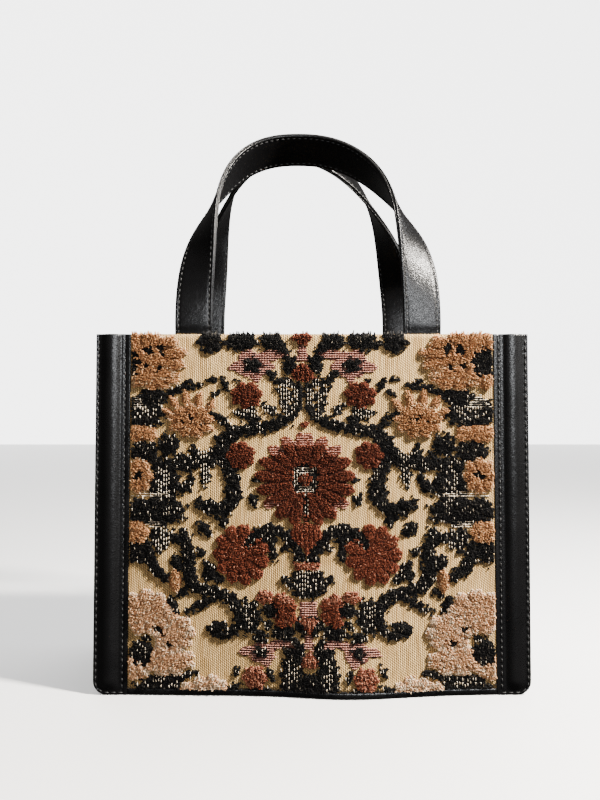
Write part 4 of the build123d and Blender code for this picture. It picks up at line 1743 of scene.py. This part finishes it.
@dataclass(frozen=True)
class StrapHandle:
    """Flat strap handle: two layers of leather on a thin core, sewn along both edges, with sizes in mm."""

    form: BagForm
    side: Side
    centre: float
    skew: float
    width: float = 24.0
    thickness: float = 3.2
    core: float = 0.8
    sewn_thickness: float = 1.5
    half_span: float = 73.4
    rise: float = 128.5
    root: float = 234.5
    roundness: float = 2.4
    lean: float = 45.6
    root_y: float = -56.15
    tilt: float = math.radians(43.0)
    twist_done: float = 1.02
    hidden: float = 38.0
    seam_inset: float = 2.3
    seam_pitch: float = 3.9
    thread: float = 0.7
    seam_out: float = 0.43
    seam_below: float = 4.0
    skive_start: float = 230.5
    skive_length: float = 7.0
    bend_start: float = 230.0
    bend_end: float = 243.0

    def arch(self, angle: Points) -> Points:
        """Middle line over the mouth.

        Args:
            angle: Place on the arch, from pi at the left root to 0 at the right root.

        Returns:
            Places in mm, for the front handle.
        """
        c = np.cos(angle)
        s = np.sin(angle)
        power = self.roundness
        reach = ((np.abs(c) / self.half_span) ** power + (np.abs(s) / self.rise) ** power) ** (-1 / power)
        rise = reach * s / self.rise
        x = self.centre + reach * c + self.skew * rise**3
        return np.stack([x, self.root_y + self.lean * rise**2, self.root + reach * s], axis=1)

    def route(self) -> tuple[Points, Points, Points]:
        """Course of the strap with its sewn ends.

        Returns:
            The middle line in mm, the direction across the strap, and the one out of its outer face.
        """
        arch = self.arch(np.linspace(math.pi, 0, 150))
        up = np.linspace(self.root - self.hidden, self.root - 1.0, 16)
        left = np.stack([np.full(16, arch[0, 0]), np.full(16, self.root_y), up], axis=1)
        right = np.stack([np.full(16, arch[-1, 0]), np.full(16, self.root_y), up[::-1]], axis=1)
        middle = np.vstack([left, arch, right])
        tangent = unit(np.gradient(middle, axis=0))
        rise = np.clip((middle[:, 2] - self.root) / self.rise, 0, 1)
        twist = math.pi / 2 * ease(rise / self.twist_done)
        count = len(middle)
        inward = np.where(np.arange(count) < count / 2, 1.0, -1.0)
        flat = np.stack([inward * np.cos(twist), 0 * twist, 0 * twist], axis=1)
        top = np.array([0, -math.cos(self.tilt), math.sin(self.tilt)])
        across = flat + top * np.sin(twist)[:, None]
        across -= tangent * np.sum(across * tangent, axis=1)[:, None]
        across = unit(across)
        return middle, across, np.cross(across, tangent)

    def slimness(self, middle: Points) -> Points:
        """Thickness along the strap: skived thin where it is sewn in."""
        share = ease((middle[:, 2] - self.skive_start) / self.skive_length)
        return self.sewn_thickness + (self.thickness - self.sewn_thickness) * share

    def section(self, low: float, high: float, inset: float, groove: float) -> Points:
        """Closed outline of one layer.

        Args:
            low: Inner face, as a share of the thickness from the middle.
            high: Outer face, the same way.
            inset: How far its edges stand back, in mm.
            groove: Strength of the sewn grooves.

        Returns:
            Across in mm, and out as a share of the whole thickness.
        """
        half = self.width / 2 - inset
        seam = half - self.seam_inset + inset
        left = [-half, -half + 0.35, -half + 0.9, -seam - 0.7, -seam, -seam + 0.7, -seam + 2.2]
        across = np.array(left + [0.0] + [-place for place in left[::-1]])
        rim = [0.16, 0.04, 0, 0.02, 0.09, 0.02, -0.012]
        dip = np.array(rim + [-0.03] + rim[::-1]) * groove
        high_face = high - np.sign(high) * dip * (abs(high) > abs(low))
        low_face = low - np.sign(low) * dip * (abs(low) > abs(high))
        return np.vstack([np.stack([across, high_face], axis=1), np.stack([across, low_face], axis=1)[::-1]])

    def mirrored(self, points: Points) -> Points:
        """Points of the front handle moved to this side."""
        return points * [1, -self.side, 1]

    def layer(self, name: str, outline: Points, finish: Material) -> Piece:
        """One layer of the strap.

        Args:
            name: The piece's name.
            outline: Its section.
            finish: The material.

        Returns:
            The piece, before it is bound to the bodies.
        """
        middle, across, out = self.route()
        thick = self.slimness(middle)
        rings = (
            middle[:, None, :] + across[:, None, :] * outline[None, :, 0, None]
            + out[:, None, :] * (outline[None, :, 1] * thick[:, None])[..., None]
        )
        return Mesher.tube(name, self.mirrored(rings), finish, flip=self.side is Side.BACK)

    def bind(self, piece: Piece) -> None:
        """Bake a piece's placement into its mesh.

        Args:
            piece: The piece.
        """
        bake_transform(piece)

    def build(self, finishes: Finishes) -> None:
        """Make the layers, the core and the stitches.

        Args:
            finishes: The materials.
        """
        face = self.side.label
        core = self.core / self.thickness / 2
        outer = self.layer(f"{face}_strap_outer", self.section(core, 0.5, 0.0, 1.0), finishes.strap)
        under = self.layer(f"{face}_strap_under", self.section(-0.5, -core, 0.0, 1.0), finishes.strap)
        middle = self.layer(f"{face}_strap_core", self.section(-core, core, 0.12, 0.0), finishes.edge)
        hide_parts(f"{face}_handle", f"{face}_left_strap_end", f"{face}_right_strap_end")
        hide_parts(f"{face}_handle_lining")
        for piece in (outer, under, middle):
            self.bind(piece)
        line, across, out = self.route()
        shown = line[:, 2] > self.form.height - self.seam_below
        lift = out * (self.slimness(line) * self.seam_out)[:, None]
        sewing = SewnRow(self.seam_pitch, self.thread)
        for hand, label in ((Hand.LEFT, "first"), (Hand.RIGHT, "second")):
            seam = line + across * hand * (self.width / 2 - self.seam_inset)
            for sign, layer in ((1, "outer"), (-1, "under")):
                path = self.mirrored((seam + sign * lift)[shown])
                outward = self.mirrored(sign * out[shown])
                self.bind(sewing.build(f"{face}_{layer}_{label}_seam", path, outward, finishes.thread))


@dataclass(frozen=True)
class Studio:
    """Camera, pale floor and soft light."""

    camera_place: Triple = (-0.0077, -0.601, 0.1888)
    lens: float = 38.1
    sensor: float = 36.0
    floor_size: float = 12.0
    wall_distance: float = 3.0
    ambient: float = 0.1
    aim: Triple = (0.0, 0.0, 0.15)
    pale: Triple = (0.88, 0.88, 0.88)

    def camera(self) -> None:
        """Level camera in front of the bag."""
        data = bpy.data.cameras.new("camera")
        data.lens = self.lens
        data.sensor_width = self.sensor
        data.clip_start = 0.01
        camera = bpy.data.objects.new("camera", data)
        camera.location = self.camera_place
        camera.rotation_euler = (math.pi / 2, 0, 0)
        bpy.context.scene.collection.objects.link(camera)
        bpy.context.scene.camera = camera

    def lamp(
        self, name: str, place: Triple, size: float, power: float, tint: Triple,
        tall: float = 0.0, mirrored: bool = True,
    ) -> None:
        """Lamp that looks at the bag: square, or a tall strip that only shows in glossy surfaces.

        Args:
            name: The lamp's name.
            place: Where it stands, in metres.
            size: Length of its side in metres.
            power: Its power in watts.
            tint: Its colour.
            tall: Height of a strip in metres, or 0 for a square lamp.
            mirrored: Whether glossy surfaces show the lamp.
        """
        data = bpy.data.lights.new(name, "AREA")
        data.size = size
        if tall:
            data.shape = "RECTANGLE"
            data.size_y = tall
        data.energy = power
        data.color = tint
        lamp = bpy.data.objects.new(name, data)
        lamp.location = place
        direction = Vector(self.aim) - Vector(place)
        lamp.rotation_euler = direction.to_track_quat("-Z", "Y").to_euler()
        lamp.visible_diffuse = not tall
        lamp.visible_glossy = mirrored
        bpy.context.scene.collection.objects.link(lamp)

    def plane(self, name: str, corners: tuple[Triple, ...], glow: float, lights: bool) -> None:
        """Pale staging surface, which glossy leather does not mirror.

        Args:
            name: Its name.
            corners: Its four corners in metres.
            glow: How much light it gives off.
            lights: Whether its light falls on the bag.
        """
        _, shader, material = Finish(name, self.pale, self.pale).start(Roughness=0.7, Emission_Strength=glow)
        shader.inputs["Base Color"].default_value = (*self.pale, 1)
        shader.inputs["Emission Color"].default_value = (1, 1, 1, 1)
        surface = Mesher.build(name, np.array(corners) / MM, [np.array([[0, 1, 2, 3]])], material)
        surface.visible_glossy = False
        surface.visible_diffuse = lights

    def build(self) -> None:
        """Set up the studio."""
        world = bpy.data.worlds.new("studio")
        world.use_nodes = True
        background = world.node_tree.nodes["Background"]
        background.inputs["Color"].default_value = (1.0, 0.96, 0.92, 1)
        background.inputs["Strength"].default_value = self.ambient
        bpy.context.scene.world = world
        self.camera()
        half = self.floor_size / 2
        far = self.wall_distance
        near = ((-half, -half, 0), (half, -half, 0))
        foot = ((half, far, 0), (-half, far, 0))
        self.plane("floor", near + foot, 0.2, False)
        self.plane("backdrop", (*foot[::-1], (half, far, half), (-half, far, half)), 4.5, True)
        self.lamp("key", (0.66, -0.40, 0.84), 0.12, 76, (1.0, 0.94, 0.86))
        self.lamp("front_strip", (0.2, -0.85, 0.5), 0.1, 12, (0.95, 0.97, 1.0), 0.44)
        self.lamp("far_strip", (0.9, -0.35, 0.45), 0.2, 0.8, (0.95, 0.97, 1.0), 0.6)
        self.lamp("right_rim", (0.9, 0.3, 0.5), 0.3, 6, (0.95, 0.97, 1.0))
        self.lamp("fill", (-0.5, -1.3, 0.5), 1.0, 6, (1.0, 0.92, 0.84), mirrored=False)


def main() -> None:
    """Build every piece in order, from the body outwards to the studio."""
    logging.basicConfig(level=logging.INFO, format="%(message)s")
    finishes = Finishes()
    form = BagForm.from_frame()
    LOG.info("form: %s", form)
    spreads = {Side.FRONT: 1.0, Side.BACK: 1.22}
    for side in Side:
        ClothPanel(form, side).build(finishes)
        for hand in Hand:
            LeatherBand(form, side, hand).build(finishes)
        FootTrim(form, side).build(finishes)
        VelvetPile(form, side, spreads[side]).build(finishes)
        Floats(form, side).build(finishes)
    Gusset(form).build(finishes)
    Inside(form).build(finishes)
    StrapHandle(form, Side.FRONT, -2.6, -6.5).build(finishes)
    StrapHandle(form, Side.BACK, -5.0, -9.5, rise=132.5, roundness=2.25).build(finishes)
    LOG.info("handles")
    Studio().build()
    LOG.info("studio")


if __name__ == "__main__":
    main()
